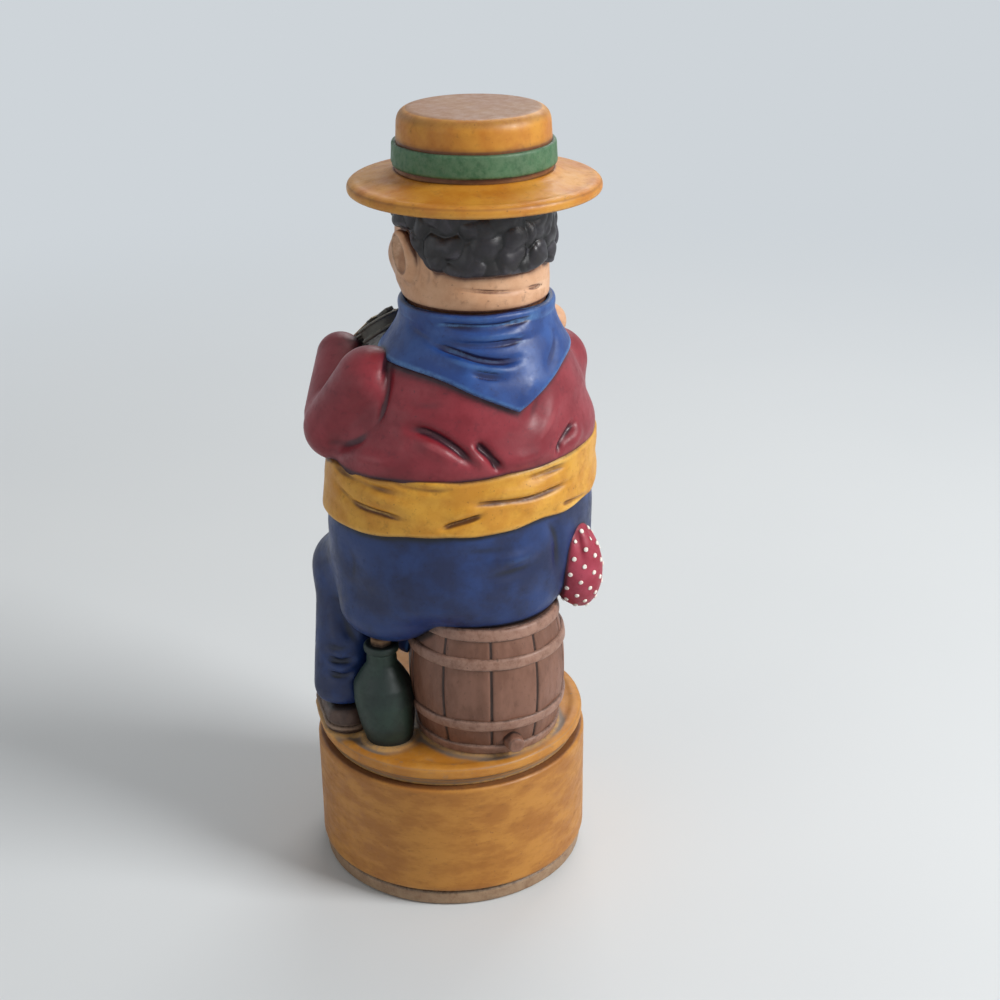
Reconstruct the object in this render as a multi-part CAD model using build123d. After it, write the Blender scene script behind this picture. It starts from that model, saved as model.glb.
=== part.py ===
import os
from math import cos, sin, pi, radians

from build123d import *

# Figural liquor decanter: a stout seated fiddler on a round plinth.
# Origin at the centre of the plinth's underside, +Z up, the figure faces -Y, its left hand is at +X.

# Driving sizes, in millimetres
plinth_radius = 54.0
drum_height = 54.0
groove_height = 3.4
disc_height = 5.6
trunk_height = 116.0
hip_half_width = 52.7
hip_half_depth = 44.0
barrel_height = 54.0
barrel_belly_radius = 30.6
head_height = 41.7
head_half_width = 27.5
hat_height = 29.3
brim_radius = 45.4

# Where the figure's axis stands, off the plinth's axis
seat_x = -4.0
seat_y = 5.0
neck_x = -8.3
neck_y = 11.8

# Walls, cloth thicknesses and clearances
cast_wall = 4.5
sash_thickness = 2.2
kerchief_thickness = 2.6
hair_thickness = 4.2
band_thickness = 1.9
overrun = 8.0
lift_clearance = 0.3
bore_clearance = 0.06
shaft_clearance = 0.05
part_clearance = 0.3

# Heights that follow
disc_bottom = drum_height + groove_height
ground = disc_bottom + disc_height
seat = ground + barrel_height
collar = seat + trunk_height
hat_seat = collar + head_height
crown_top = hat_seat + hat_height


def at(x, y, z):
    return Pos(x, y, z)


def upright(radius, height, x=0, y=0, z=0):
    """A round bar standing on z."""
    return at(x, y, z) * Cylinder(radius, height, align=(Align.CENTER, Align.CENTER, Align.MIN))


def tube(outer, inner, height, x=0, y=0, z=0):
    """A ring standing on z."""
    core = upright(inner, height + overrun + overrun, x, y, z - overrun)
    return upright(outer, height, x, y, z) - core


def block(width, depth, height, x=0, y=0, z=0):
    """A box centred on x and y, standing on z."""
    return at(x, y, z) * Box(width, depth, height, align=(Align.CENTER, Align.CENTER, Align.MIN))


def ellipsoid(centre, radii):
    """A ball stretched to three radii."""
    wide, deep, tall = radii
    if wide == deep == tall:
        return at(*centre) * Sphere(wide)
    return at(*centre) * scale(Sphere(wide), by=(1, deep / wide, tall / wide))


def main_solid(shape):
    """The largest solid that a cut leaves."""
    return max(shape.solids(), key=lambda solid: solid.volume)


def limb(start, start_radius, end, end_radius):
    """A round limb that tapers from one ball end to the other."""
    run = Vector(*end) - Vector(*start)
    half = sin(pi / 4)
    lower = ThreePointArc((0, -start_radius), (start_radius * half, -start_radius * half), (start_radius, 0))
    side = Line((start_radius, 0), (end_radius, run.length))
    tip = run.length + end_radius
    high = run.length + end_radius * half
    upper = ThreePointArc((end_radius, run.length), (end_radius * half, high), (0, tip))
    outline = make_face([lower, side, upper, Line((0, tip), (0, -start_radius))])
    return Plane(origin=start, z_dir=run) * revolve(Plane.XZ * outline, Axis.Z)


def ellipse_loft(sections):
    """A loft through level ellipses given as x, y, z, half width, half depth."""
    faces = [Plane(origin=(x, y, z)) * Ellipse(wide, deep) for x, y, z, wide, deep in sections]
    return loft(faces)


def slab(low, high, reach=plinth_radius * 4):
    return block(reach, reach, high - low, 0, 0, low)


# Trunk: height, lean from seat to neck, half width and half depth, as shares of the sizes they follow
trunk_shares = [
    (0.000, 0.00, 0.78, 0.80),
    (0.022, 0.00, 0.87, 0.88),
    (0.070, 0.00, 0.955, 0.96),
    (0.160, 0.00, 0.995, 1.00),
    (0.290, 0.00, 1.000, 1.00),
    (0.415, 0.04, 0.970, 0.975),
    (0.540, 0.18, 0.945, 0.96),
    (0.640, 0.34, 0.905, 0.935),
    (0.740, 0.55, 0.830, 0.880),
    (0.820, 0.75, 0.715, 0.800),
    (0.885, 0.92, 0.590, 0.695),
    (0.945, 1.00, 0.510, 0.610),
    (1.000, 1.00, 0.475, 0.569),
]


def trunk_at(share, grow):
    """The trunk's section at a share of its height, grown by a thickness."""
    height_share, lean, wide, deep = share
    x = seat_x + (neck_x - seat_x) * lean
    y = seat_y + (neck_y - seat_y) * lean
    z = seat + trunk_height * height_share
    return (x, y, z, hip_half_width * wide + grow, hip_half_depth * deep + grow)


def trunk_loft(grow, first=0, last=None):
    return ellipse_loft([trunk_at(share, grow) for share in trunk_shares[first:last]])


trunk = trunk_loft(0)

# Plinth: drum, foot ring and the ground disc that closes it
drum_wall = 5.0
drum_roof = 4.6
foot_height = 5.2
foot_inset = 1.3
foot_width = 6.5
foot_groove = 1.1
spigot_radius = 38.0
spigot_wall = 4.0
disc_inset = 0.9

foot_outer = plinth_radius - foot_inset
foot_inner = foot_outer - foot_width
drum_inner = plinth_radius - drum_wall
drum_bottom = foot_height + foot_groove

foot_ring = fillet(
    tube(foot_outer, foot_inner, foot_height).edges().filter_by(GeomType.CIRCLE).group_by(Axis.Z)[-1][-1:],
    foot_groove,
)
foot_neck = tube(foot_outer - foot_groove, foot_inner, foot_groove, 0, 0, foot_height)
foot_ring = foot_ring + foot_neck

drum_outside = upright(plinth_radius, drum_height - drum_bottom, 0, 0, drum_bottom)
drum_outside = fillet(drum_outside.edges().filter_by(GeomType.CIRCLE), foot_groove)
roof_under = drum_height - drum_roof
drum_inside = upright(drum_inner, roof_under - drum_bottom + overrun, 0, 0, drum_bottom - overrun)
plinth_drum = drum_outside - drum_inside - upright(spigot_radius + part_clearance, drum_height + overrun)

disc_radius = plinth_radius - disc_inset
ground_disc = upright(disc_radius, disc_height, 0, 0, disc_bottom)
rim_round = disc_height / 3
ground_disc = fillet(ground_disc.edges().filter_by(GeomType.CIRCLE), rim_round)
collar_ring = tube(disc_radius - foot_inset - foot_inset, spigot_radius - spigot_wall, groove_height, 0, 0, drum_height)
spigot = tube(spigot_radius, spigot_radius - spigot_wall, drum_roof, 0, 0, roof_under)
ground_disc = ground_disc + collar_ring + spigot

# Barrel that the figure sits on, its hoops and its spigot peg
barrel_x = -5.0
barrel_y = 21.0
barrel_end_share = 0.865
barrel_wall = 4.5
hoop_width = 4.6
hoop_thickness = 1.1
hoop_share = [0.045, 0.26, 0.75, 0.955]
peg_radius = 3.6
peg_length = 4.2
peg_bearing = 80.0
peg_height_share = 0.12


def barrel_radius(share):
    """The stave radius at a share of the height, on a parabola that swells at the middle."""
    offset = 2 * share - 1
    return barrel_belly_radius * (1 - (1 - barrel_end_share) * offset * offset)


barrel_steps = 8


def barrel_form(grow, low, high):
    """A barrel-shaped solid between two shares of the height."""
    shares = [low + (high - low) * i / barrel_steps for i in range(barrel_steps + 1)]
    side = [(barrel_radius(share) + grow, ground + barrel_height * share) for share in shares]
    foot = ground + barrel_height * low
    top = ground + barrel_height * high
    arc = Spline([(radius, 0, height) for radius, height in side])
    lines = [arc, Line((side[-1][0], 0, top), (0, 0, top)), Line((0, 0, top), (0, 0, foot))]
    outline = make_face(lines + [Line((0, 0, foot), (side[0][0], 0, foot))])
    return at(barrel_x, barrel_y, 0) * revolve(outline, Axis.Z)


barrel_core = barrel_form(0, 0, 1)
reservoir_radius = barrel_belly_radius * barrel_end_share - barrel_wall
barrel_hollow = upright(reservoir_radius, barrel_height + overrun, barrel_x, barrel_y, ground + barrel_wall)
barrel_staves = barrel_core - barrel_hollow
hoop_half_share = hoop_width / barrel_height / 2
barrel_hoops = []
for middle in hoop_share:
    low_share = max(0, middle - hoop_half_share)
    high_share = min(1, middle + hoop_half_share)
    barrel_hoops.append(barrel_form(hoop_thickness, low_share, high_share) - barrel_core)

peg_z = ground + barrel_height * peg_height_share
peg_run = Vector(cos(radians(peg_bearing)), sin(radians(peg_bearing)), 0)
peg_start = Vector(barrel_x, barrel_y, peg_z) + peg_run * (barrel_radius(peg_height_share) - peg_radius)
barrel_peg = Plane(origin=peg_start, z_dir=peg_run) * Cylinder(
    peg_radius, peg_length + peg_radius, align=(Align.CENTER, Align.CENTER, Align.MIN)
)
barrel_peg = chamfer(barrel_peg.edges().group_by(Axis.Y)[-1], peg_radius / 4)
for hoop in barrel_hoops + [barrel_core]:
    barrel_peg = barrel_peg - hoop

# Bottle standing between the barrel and the left leg
bottle_x = 34.4
bottle_y = 8.6
bottle_radius = 11.8
bottle_height = 36.5
bottle_lip_radius = 6.9
bottle_lip_height = 3.2
cork_radius = 4.2
cork_height = 3.0
bottle_lean = 4.6
# Height, radius and set towards the back, as shares of the bottle's height, radius and lean
bottle_shares = [
    (0.00, 0.76, 1.00),
    (0.20, 0.90, 0.70),
    (0.44, 1.00, 0.25),
    (0.62, 0.97, 0.00),
    (0.75, 0.74, 0.00),
    (0.86, 0.50, 0.00),
    (1.00, 0.475, 0.00),
]
bottle_faces = []
for height_share, radius_share, lean_share in bottle_shares:
    centre = (bottle_x, bottle_y + bottle_lean * lean_share, ground + bottle_height * height_share)
    bottle_faces.append(Plane(origin=centre) * Circle(bottle_radius * radius_share))
bottle_body = loft(bottle_faces)
bottle_body = bottle_body - barrel_core
for hoop in barrel_hoops:
    bottle_body = bottle_body - hoop
bottle_lip = upright(bottle_lip_radius, bottle_lip_height, bottle_x, bottle_y, ground + bottle_height)
bottle_lip = fillet(bottle_lip.edges().filter_by(GeomType.CIRCLE), bottle_lip_height / 3)
bottle_cork = upright(cork_radius, cork_height, bottle_x, bottle_y, ground + bottle_height + bottle_lip_height)

# Reservoir inside the trunk, open to the barrel below and to the neck bore above
plug_radius = 12.4
neck_bore = plug_radius + bore_clearance
bore_height = 22.0
cavity_floor_share = 0.05
waist_share = 0.445

cavity_sections = []
for share in trunk_shares[3:9]:
    cavity_sections.append(trunk_at(share, -cast_wall))
reservoir_top = collar - bore_height
cavity_sections.append((neck_x, neck_y, reservoir_top, neck_bore, neck_bore))
cavity_foot = seat + trunk_height * cavity_floor_share
first_cavity = trunk_at(trunk_shares[1], -cast_wall)
cavity_sections.insert(0, (first_cavity[0], first_cavity[1], cavity_foot, first_cavity[3], first_cavity[4]))
cavity = ellipse_loft(cavity_sections)
bore = upright(neck_bore, bore_height + overrun, neck_x, neck_y, reservoir_top)
seat_hole = upright(reservoir_radius, cavity_foot - seat + overrun + overrun, barrel_x, barrel_y, seat - overrun)

# Trousers, with the lap and both thighs
waist = seat + trunk_height * waist_share
thigh_radius = 18.5
knee_radius = 14.0
thigh_z = seat + thigh_radius
knee_z = seat + thigh_radius / 3
left_hip = (seat_x + hip_half_width * 0.52, seat_y - hip_half_depth * 0.20, thigh_z)
left_knee = (seat_x + hip_half_width * 0.68, seat_y - hip_half_depth * 0.60, knee_z)
right_hip = (seat_x - hip_half_width * 0.50, seat_y - hip_half_depth * 0.20, thigh_z)
right_knee = (seat_x - hip_half_width * 0.58, seat_y - hip_half_depth * 0.80, knee_z)

haunch_radii = (22.0, 20.0, 15.0)
haunch_share = 0.53
haunch_lift = 6.0
haunch_place = (seat_x + hip_half_width * haunch_share, seat_y + sash_thickness, seat + haunch_lift)
thighs = limb(left_hip, thigh_radius, left_knee, knee_radius)
thighs = thighs + limb(right_hip, thigh_radius, right_knee, knee_radius)
thighs = thighs + ellipsoid(haunch_place, haunch_radii)
lower_trunk = trunk & slab(seat, waist)
lap = lower_trunk + (thighs & slab(seat - knee_radius, waist))
trousers = lap - cavity - seat_hole - barrel_core
for hoop in barrel_hoops:
    trousers = trousers - hoop

# Legs, shoes and soles
ankle_radius = 12.0
sole_height = 3.6
shoe_height = 10.5
heel_radius = 8.2
toe_radius = 8.8
sole_edge = 0.9
left_ankle_x = 42.6
left_ankle_y = -9.5
right_ankle_x = -30.5
right_ankle_y = -21.0
shoe_length = 20.0
ankle_z = ground + shoe_height + ankle_radius / 2


def lower_leg(knee, ankle_x, ankle_y):
    leg = limb(knee, knee_radius - part_clearance, (ankle_x, ankle_y, ankle_z), ankle_radius)
    leg = leg & slab(ground + shoe_height, collar)
    return main_solid(leg - lap - bottle_body - barrel_core)


def shoe_form(ankle_x, ankle_y, toe_out, grow):
    """A shoe's body from heel to toe, toe_out degrees away from straight ahead."""
    toe = (ankle_x + shoe_length * sin(radians(toe_out)), ankle_y - shoe_length * cos(radians(toe_out)))
    middle = ground + heel_radius / 2
    return limb((ankle_x, ankle_y, middle), heel_radius + grow, (toe[0], toe[1], middle), toe_radius + grow)


left_toe_out = -16.0
right_toe_out = 6.0
heel_back = 6.0
left_leg = lower_leg(left_knee, left_ankle_x, left_ankle_y)
right_leg = lower_leg(right_knee, right_ankle_x, right_ankle_y)
shoe_band = slab(ground + sole_height, ground + shoe_height)
sole_band = slab(ground, ground + sole_height)
left_shoe_x = left_ankle_x + sole_edge + sole_edge
left_shoe_y = left_ankle_y + heel_back
right_shoe_y = right_ankle_y + heel_back
left_shoe = shoe_form(left_shoe_x, left_shoe_y, left_toe_out, 0) & shoe_band
right_shoe = shoe_form(right_ankle_x, right_shoe_y, right_toe_out, 0) & shoe_band
left_sole = shoe_form(left_shoe_x, left_shoe_y, left_toe_out, sole_edge) & sole_band
right_sole = shoe_form(right_ankle_x, right_shoe_y, right_toe_out, sole_edge) & sole_band
left_shoe = left_shoe - bottle_body
left_sole = left_sole - bottle_body

# Shirt, sash and sash knot
shirt_band = slab(waist, collar)
shirt_body = (trunk & shirt_band) - cavity - bore

sash_low_share = 0.3578
sash_high_share = 0.5474
sash_low = trunk_height * sash_low_share
sash_high = trunk_height * sash_high_share
sash_tilt = 4.5
sash_skin = trunk_loft(sash_thickness, 3, 9)
sash_reach = hip_half_width * 4
sash_band = at(seat_x, seat_y, seat + sash_low) * Rot(0, sash_tilt / 2, 0) * Box(
    sash_reach, sash_reach, sash_high - sash_low, align=(Align.CENTER, Align.CENTER, Align.MIN)
)
sash = (sash_skin & sash_band) - trunk

knot_radius = 7.0
knot_x_share = 0.38
knot_y_share = 0.90
sash_knot = ellipsoid(
    (seat_x + hip_half_width * knot_x_share, seat_y - hip_half_depth * knot_y_share, seat + sash_low + knot_radius),
    (knot_radius, knot_radius * 0.7, knot_radius),
)
sash_knot = sash_knot - trunk - sash
sash_tail_length = 20.0
sash_tail_radius = 4.0
tail_top = (seat_x + hip_half_width * knot_x_share, seat_y - hip_half_depth, seat + sash_low)
tail_foot = (tail_top[0] + sash_tail_radius, tail_top[1] - sash_tail_radius, tail_top[2] - sash_tail_length)
sash_tail = limb(tail_top, sash_tail_radius, tail_foot, sash_tail_radius + sash_thickness)
sash_tail = sash_tail - trunk - sash - trousers - sash_knot

# Kerchief round the neck, with the point down the back
kerchief_low_share = 0.1422
tip_share = 0.2543
kerchief_low = trunk_height * kerchief_low_share
kerchief_lip = 3.2
tip_drop = trunk_height * tip_share
tip_half_width = 36.0
lip_thickness = 1.6
lip_outer = trunk_at(trunk_shares[-1], kerchief_thickness - lift_clearance)[4]
lip_inner = lip_outer - lip_thickness
head_bottom_radius = lip_inner - lift_clearance

kerchief_skin = trunk_loft(kerchief_thickness, 6)
kerchief_band = slab(collar - kerchief_low, collar)
tip_outline = make_face(
    Polyline(
        (neck_x - tip_half_width, 0, collar - kerchief_low + kerchief_lip),
        (neck_x + tip_half_width, 0, collar - kerchief_low + kerchief_lip),
        (neck_x + hair_thickness, 0, collar - tip_drop),
        close=True,
    )
)
tip_prism = extrude(tip_outline, amount=plinth_radius + plinth_radius, dir=(0, 1, 0))
kerchief_wrap = kerchief_skin & (kerchief_band + tip_prism)
kerchief_rim = tube(lip_outer, lip_inner, kerchief_lip, neck_x, neck_y, collar)
kerchief = (kerchief_wrap - trunk) + kerchief_rim

# Arms, from shoulder to hand
arm_radius = 12.8
elbow_radius = 12.4
fore_radius = 11.0
wrist_radius = 9.0
hand_radius = 8.2
shoulder_share = 0.7414
elbow_share = 0.6078
wrist_share = 0.7457
hand_share = 0.8233

shoulder_z = seat + trunk_height * shoulder_share
elbow_z = seat + trunk_height * elbow_share
wrist_z = seat + trunk_height * wrist_share
hand_z = seat + trunk_height * hand_share
left_shoulder = (33.0, 3.0, shoulder_z)
left_elbow = (41.0, -8.0, elbow_z)
left_fore = (38.6, -15.2, elbow_z + sash_thickness)
left_lift = 1.0
left_drop = 7.5
left_wrist = (25.2, -35.5, wrist_z + left_lift)
left_palm = (19.6, -45.6, wrist_z - left_drop)
right_shoulder = (-43.5, 8.5, shoulder_z)
right_elbow = (-46.0, 2.0, elbow_z - sash_thickness)
right_fore = (-46.5, -6.0, elbow_z)
right_wrist = (-49.0, -12.0, wrist_z + sash_thickness)
right_palm = (-52.0, -9.5, hand_z)

left_upper_arm = main_solid(limb(left_shoulder, arm_radius, left_elbow, elbow_radius) - trunk - sash - kerchief)
left_forearm = main_solid(limb(left_fore, fore_radius, left_wrist, wrist_radius) - trunk - left_upper_arm - sash)
right_upper_arm = main_solid(limb(right_shoulder, arm_radius, right_elbow, elbow_radius) - trunk - sash - kerchief)
right_forearm = main_solid(limb(right_fore, fore_radius, right_wrist, wrist_radius) - trunk - right_upper_arm - sash)
left_hand = main_solid(at(*left_palm) * Sphere(hand_radius) - trunk - left_forearm)
right_hand = at(*right_palm) * Sphere(hand_radius) - trunk - kerchief
right_hand = right_hand - right_upper_arm - right_forearm

# Fiddle across the upper chest and the bow drawn over it
fiddle_body_length = 36.0
fiddle_thickness = 6.0
lower_bout = 11.5
upper_bout = 9.4
waist_cut = 5.0
fiddle_neck_length = 13.0
fiddle_neck_radius = 2.6
scroll_radius = 3.8
bridge_height = 2.6
bridge_width = 9.0
bridge_thickness = 1.6
bridge_back = 4.0
bow_radius = 1.1
bow_length = 76.0
fiddle_run = Vector(0.118, -0.793, -0.598)
fiddle_face = Vector(0.231, -0.564, 0.793)
fiddle_drop_share = 0.2009
fiddle_middle = (10.7, -30.0, collar - trunk_height * fiddle_drop_share)

fiddle_plane = Plane(origin=fiddle_middle, x_dir=fiddle_run, z_dir=fiddle_face)
half_body = fiddle_body_length / 2
fiddle_outline = Pos(-half_body + lower_bout, 0) * Circle(lower_bout)
fiddle_outline = fiddle_outline + Pos(half_body - upper_bout, 0) * Circle(upper_bout)
fiddle_outline = fiddle_outline + Rectangle(half_body, upper_bout + upper_bout)
for side in (-1, 1):
    fiddle_outline = fiddle_outline - Pos(0, side * (upper_bout + waist_cut / 2)) * Circle(waist_cut)
fiddle_body = fiddle_plane * extrude(fiddle_outline, amount=fiddle_thickness)
fiddle_body = main_solid(fiddle_body - trunk - kerchief - left_forearm - left_upper_arm)

neck_plane = fiddle_plane * Pos(half_body - overrun, 0, fiddle_thickness - fiddle_neck_radius)
neck_bar = neck_plane * Rot(0, 90, 0) * Cylinder(
    fiddle_neck_radius, fiddle_neck_length + overrun, align=(Align.CENTER, Align.CENTER, Align.MIN)
)
scroll_place = fiddle_plane * Pos(half_body + fiddle_neck_length, 0, fiddle_thickness - fiddle_neck_radius)
scroll = scroll_place * Sphere(scroll_radius)
fiddle_neck = main_solid((neck_bar + scroll) - fiddle_body - trunk - left_forearm)
left_hand = main_solid(left_hand - fiddle_body - fiddle_neck)

bridge_place = fiddle_plane * Pos(-bridge_back, 0, fiddle_thickness)
fiddle_bridge = bridge_place * Box(
    bridge_thickness, bridge_width, bridge_height, align=(Align.CENTER, Align.CENTER, Align.MIN)
)
bow_point = bridge_place * Pos(0, 0, bridge_height + bow_radius)
bow_touch = bow_point.position
bow_start = Vector(*right_palm)
bow_run = (bow_touch - bow_start).normalized()
bow_stick = Plane(origin=bow_start, z_dir=bow_run) * Cylinder(
    bow_radius, bow_length, align=(Align.CENTER, Align.CENTER, Align.MIN)
)
right_hand = right_hand - bow_stick
bow_stick = main_solid(bow_stick - trunk - right_upper_arm - right_forearm - kerchief - fiddle_bridge - fiddle_body)

# Knot of the kerchief and the shirt buttons
kerchief_knot_radius = 5.4
kerchief_knot = ellipsoid(
    (neck_x, neck_y - trunk_at(trunk_shares[-3], 0)[4] - kerchief_knot_radius / 2, collar - kerchief_low / 2),
    (kerchief_knot_radius, kerchief_knot_radius, kerchief_knot_radius),
)
kerchief_knot = kerchief_knot - trunk - kerchief - fiddle_body - bow_stick

button_radius = 2.2
button_depth = 1.5
button_count = 3
button_pitch = 9.5
button_low = sash_high + button_pitch / 2
shirt_buttons = []
for i in range(button_count):
    button_z = seat + button_low + button_pitch * i
    share = (button_z - seat) / trunk_height
    pair = [s for s in trunk_shares if s[0] >= share][0]
    front = trunk_at(pair, 0)
    rod = at(front[0], front[1], button_z) * Rot(90, 0, 0) * Cylinder(
        button_radius, hip_half_depth + overrun, align=(Align.CENTER, Align.CENTER, Align.MIN)
    )
    skin = trunk_loft(button_depth, 4, 11)
    shirt_buttons.append((rod & skin) - trunk)

# Spotted handkerchief in the right hip pocket
pocket_x_share = 0.721
pocket_y_share = 0.634
pocket_z = 12.5
pocket_wide = 9.6
pocket_tall = 19.0
handkerchief = at(
    seat_x - hip_half_width * pocket_x_share, seat_y + hip_half_depth * pocket_y_share, seat + pocket_z
) * Rot(0, 8, 0) * scale(Sphere(1), by=(pocket_wide, pocket_wide, pocket_tall))
handkerchief = handkerchief - trunk - barrel_core
for hoop in barrel_hoops:
    handkerchief = handkerchief - hoop

# Head: height share, forward set, half width and half depth
head_half_depth = 29.5
face_forward = 3.2
head_shares = [
    (0.00, 0.00, 0.940, 0.872),
    (0.08, 0.30, 0.985, 0.955),
    (0.22, 0.90, 1.010, 1.000),
    (0.42, 1.00, 1.000, 1.010),
    (0.66, 0.90, 0.985, 1.000),
    (0.86, 0.70, 0.955, 0.970),
    (1.00, 0.55, 0.930, 0.950),
]


def head_at(share, grow):
    height_share, forward, wide, deep = share
    y = neck_y - face_forward * forward
    return (neck_x, y, collar + head_height * height_share, head_half_width * wide + grow, head_half_depth * deep + grow)


head_sections = [head_at(share, 0) for share in head_shares]
head_sections[0] = (neck_x, neck_y, collar, head_bottom_radius, head_bottom_radius)
neck_top_z = collar + kerchief_lip
head_sections.insert(1, (neck_x, neck_y, neck_top_z, head_bottom_radius, head_bottom_radius))
del head_sections[2]
head_core = ellipse_loft(head_sections)
ear_height = 9.6
ear_depth = 5.6
ear_out = 3.8
ear_z = collar + head_height * 0.50
nose_radius = 4.2
face_y = neck_y - face_forward - head_half_depth
head = head_core
for side in (-1, 1):
    head = head + ellipsoid((neck_x + side * head_half_width, neck_y - face_forward / 2, ear_z), (ear_out, ear_depth, ear_height))
head = head + ellipsoid((neck_x, face_y, collar + head_height * 0.48), (nose_radius, nose_radius, nose_radius * 1.5))
hollow_radius = head_half_width - cast_wall - cast_wall / 2
head_hollow = ellipsoid(
    (neck_x, neck_y - face_forward / 2, collar + head_height / 2), (hollow_radius, hollow_radius, head_height / 2 - cast_wall)
)
shank_radius = 7.5
shank_grip = 6.0
head = head - head_hollow - upright(shank_radius, head_height / 2, neck_x, neck_y, collar - overrun)

# Hair round the back and sides
hair_low_share = 0.36
hair_skin = ellipse_loft([head_at(share, hair_thickness) for share in head_shares[1:]])
hair_front = neck_y - face_forward / 2 + ear_depth / 2
hair_low = collar + head_height * hair_low_share
hair_box = block(plinth_radius * 2, plinth_radius * 2, head_height, neck_x, hair_front + plinth_radius, hair_low)
temple_low = ear_z + ear_height
temple_box = block(plinth_radius * 2, plinth_radius, head_height, neck_x, hair_front, temple_low)
hair = (hair_skin & (hair_box + temple_box) & slab(hair_low, hat_seat)) - head_core - head

# Straw hat: brim, crown and band
brim_thickness = 3.4
brim_rise = 7.2
brim_round = 1.5
crown_radius = 28.2
crown_top_radius = 27.0
crown_round = 3.4
band_low = 2.4
band_height = 8.2
hat_wall = 3.4

brim_points = [(0, 0), (brim_radius, 0), (brim_radius, brim_thickness), (crown_radius, brim_rise), (0, brim_rise)]
brim_outline = make_face(Polyline(*[(radius, 0, height) for radius, height in brim_points], close=True))
hat_brim = at(neck_x, neck_y, hat_seat) * revolve(brim_outline, Axis.Z)
hat_brim = fillet(hat_brim.edges().filter_by(GeomType.CIRCLE).sort_by(SortBy.RADIUS)[-2:], brim_round)
crown_foot = hat_seat + brim_rise
crown_height = crown_top - crown_foot
crown_outside = at(neck_x, neck_y, crown_foot) * Cone(
    crown_radius, crown_top_radius, crown_height, align=(Align.CENTER, Align.CENTER, Align.MIN)
)
crown_outside = fillet(crown_outside.edges().group_by(Axis.Z)[-1], crown_round)
crown_inside = upright(crown_top_radius - hat_wall, crown_height - hat_wall + overrun, neck_x, neck_y, crown_foot - overrun)
hat_crown = crown_outside - crown_inside
band_z = crown_foot + band_low
hat_band = upright(crown_radius + band_thickness, band_height, neck_x, neck_y, band_z) - crown_outside
hat_band = fillet(hat_band.edges().filter_by(GeomType.CIRCLE).sort_by(SortBy.RADIUS)[-2:], band_thickness / 2)

# Stopper under the head: a shank, a cork sleeve and a retaining disc
plug_length = 18.0
sleeve_length = 14.0
retainer_height = 1.6
shank_top = collar + cast_wall + shank_grip
stopper_shank = upright(shank_radius, shank_top - collar + sleeve_length, neck_x, neck_y, collar - sleeve_length)
stopper_shank = stopper_shank + upright(
    plug_radius - retainer_height, retainer_height, neck_x, neck_y, collar - sleeve_length - retainer_height
)
stopper_cork = tube(plug_radius, shank_radius, sleeve_length, neck_x, neck_y, collar - sleeve_length)
stopper_shank = stopper_shank & slab(collar - plug_length, shank_top)

# Base plate with the key well, and its screws
plate_height = 2.6
well_radius = 15.0
well_depth = 13.0
well_wall = 1.8
key_x = -24.0
key_y = 9.0
arbor_radius = 2.4
stop_x = 33.0
stop_y = -12.0
stop_radius = 1.6
screw_radius = 1.8
screw_head = 3.4
screw_head_height = 1.4
screw_count = 3
screw_circle = 41.4
boss_radius = 4.0

well_top = well_depth + well_wall
plate_radius = foot_inner - part_clearance
plate_disc = upright(plate_radius, plate_height)
well_cup = upright(well_radius + well_wall, well_top, key_x, key_y)
well_hollow = upright(well_radius, well_depth + overrun, key_x, key_y, -overrun)
arbor_hole = upright(arbor_radius + shaft_clearance, well_top + overrun, key_x, key_y, 0)
stop_hole = upright(stop_radius + shaft_clearance, plate_height + overrun + overrun, stop_x, stop_y, -overrun)
base_plate = plate_disc + well_cup - well_hollow - arbor_hole - stop_hole
drum_bosses = []
base_screws = []
for i in range(screw_count):
    bearing = radians(360 * i / screw_count + 90)
    x = screw_circle * cos(bearing)
    y = screw_circle * sin(bearing)
    shank_hole = upright(screw_radius, roof_under, x, y, plate_height)
    boss = upright(boss_radius, roof_under - plate_height, x, y, plate_height) - shank_hole
    drum_bosses.append(boss)
    head_well = upright(screw_head, screw_head_height + part_clearance, x, y, 0)
    base_plate = base_plate - head_well - upright(screw_radius, plate_height + overrun, x, y, 0)
    screw = upright(screw_head - part_clearance, screw_head_height, x, y, part_clearance)
    base_screws.append(screw + upright(screw_radius, foot_height + plate_height, x, y, part_clearance))
for boss in drum_bosses:
    plinth_drum = plinth_drum + boss

# Musical movement on its bedplate
bed_width = 78.0
bed_depth = 44.0
bed_height = 3.0
bed_z = well_top
cylinder_radius = 6.4
cylinder_length = 30.0
axle_radius = 1.5
axle_z = bed_z + bed_height + 12.5
crown_gear_radius = 13.0
barrel_case_height = 8.0
gear_height = 2.0
tooth_height = 1.6
crown_teeth = 24
pinion_teeth = 8
bearing_thickness = 2.4
bearing_width = 8.0

bed_x = (key_x + stop_x) / 2
bedplate = block(bed_width, bed_depth, bed_height, bed_x, key_y - bed_depth / 5, bed_z)
bedplate = bedplate & upright(screw_circle - boss_radius - part_clearance, bed_height, 0, 0, bed_z)
bedplate = bedplate - upright(arbor_radius + shaft_clearance, bed_height + overrun, key_x, key_y, bed_z - overrun / 2)
bedplate = bedplate - upright(stop_radius + shaft_clearance, bed_height + overrun, stop_x, stop_y, bed_z - overrun / 2)
post_radius = 2.6
post_shares = [(-0.15, -0.35), (0.13, 0.40), (0.37, -0.05)]
bed_posts = []
for x_share, y_share in post_shares:
    x = bed_x + bed_width * x_share
    y = key_y - bed_depth / 5 + bed_depth * y_share
    bed_posts.append(upright(post_radius, bed_z - plate_height, x, y, plate_height))

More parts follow.
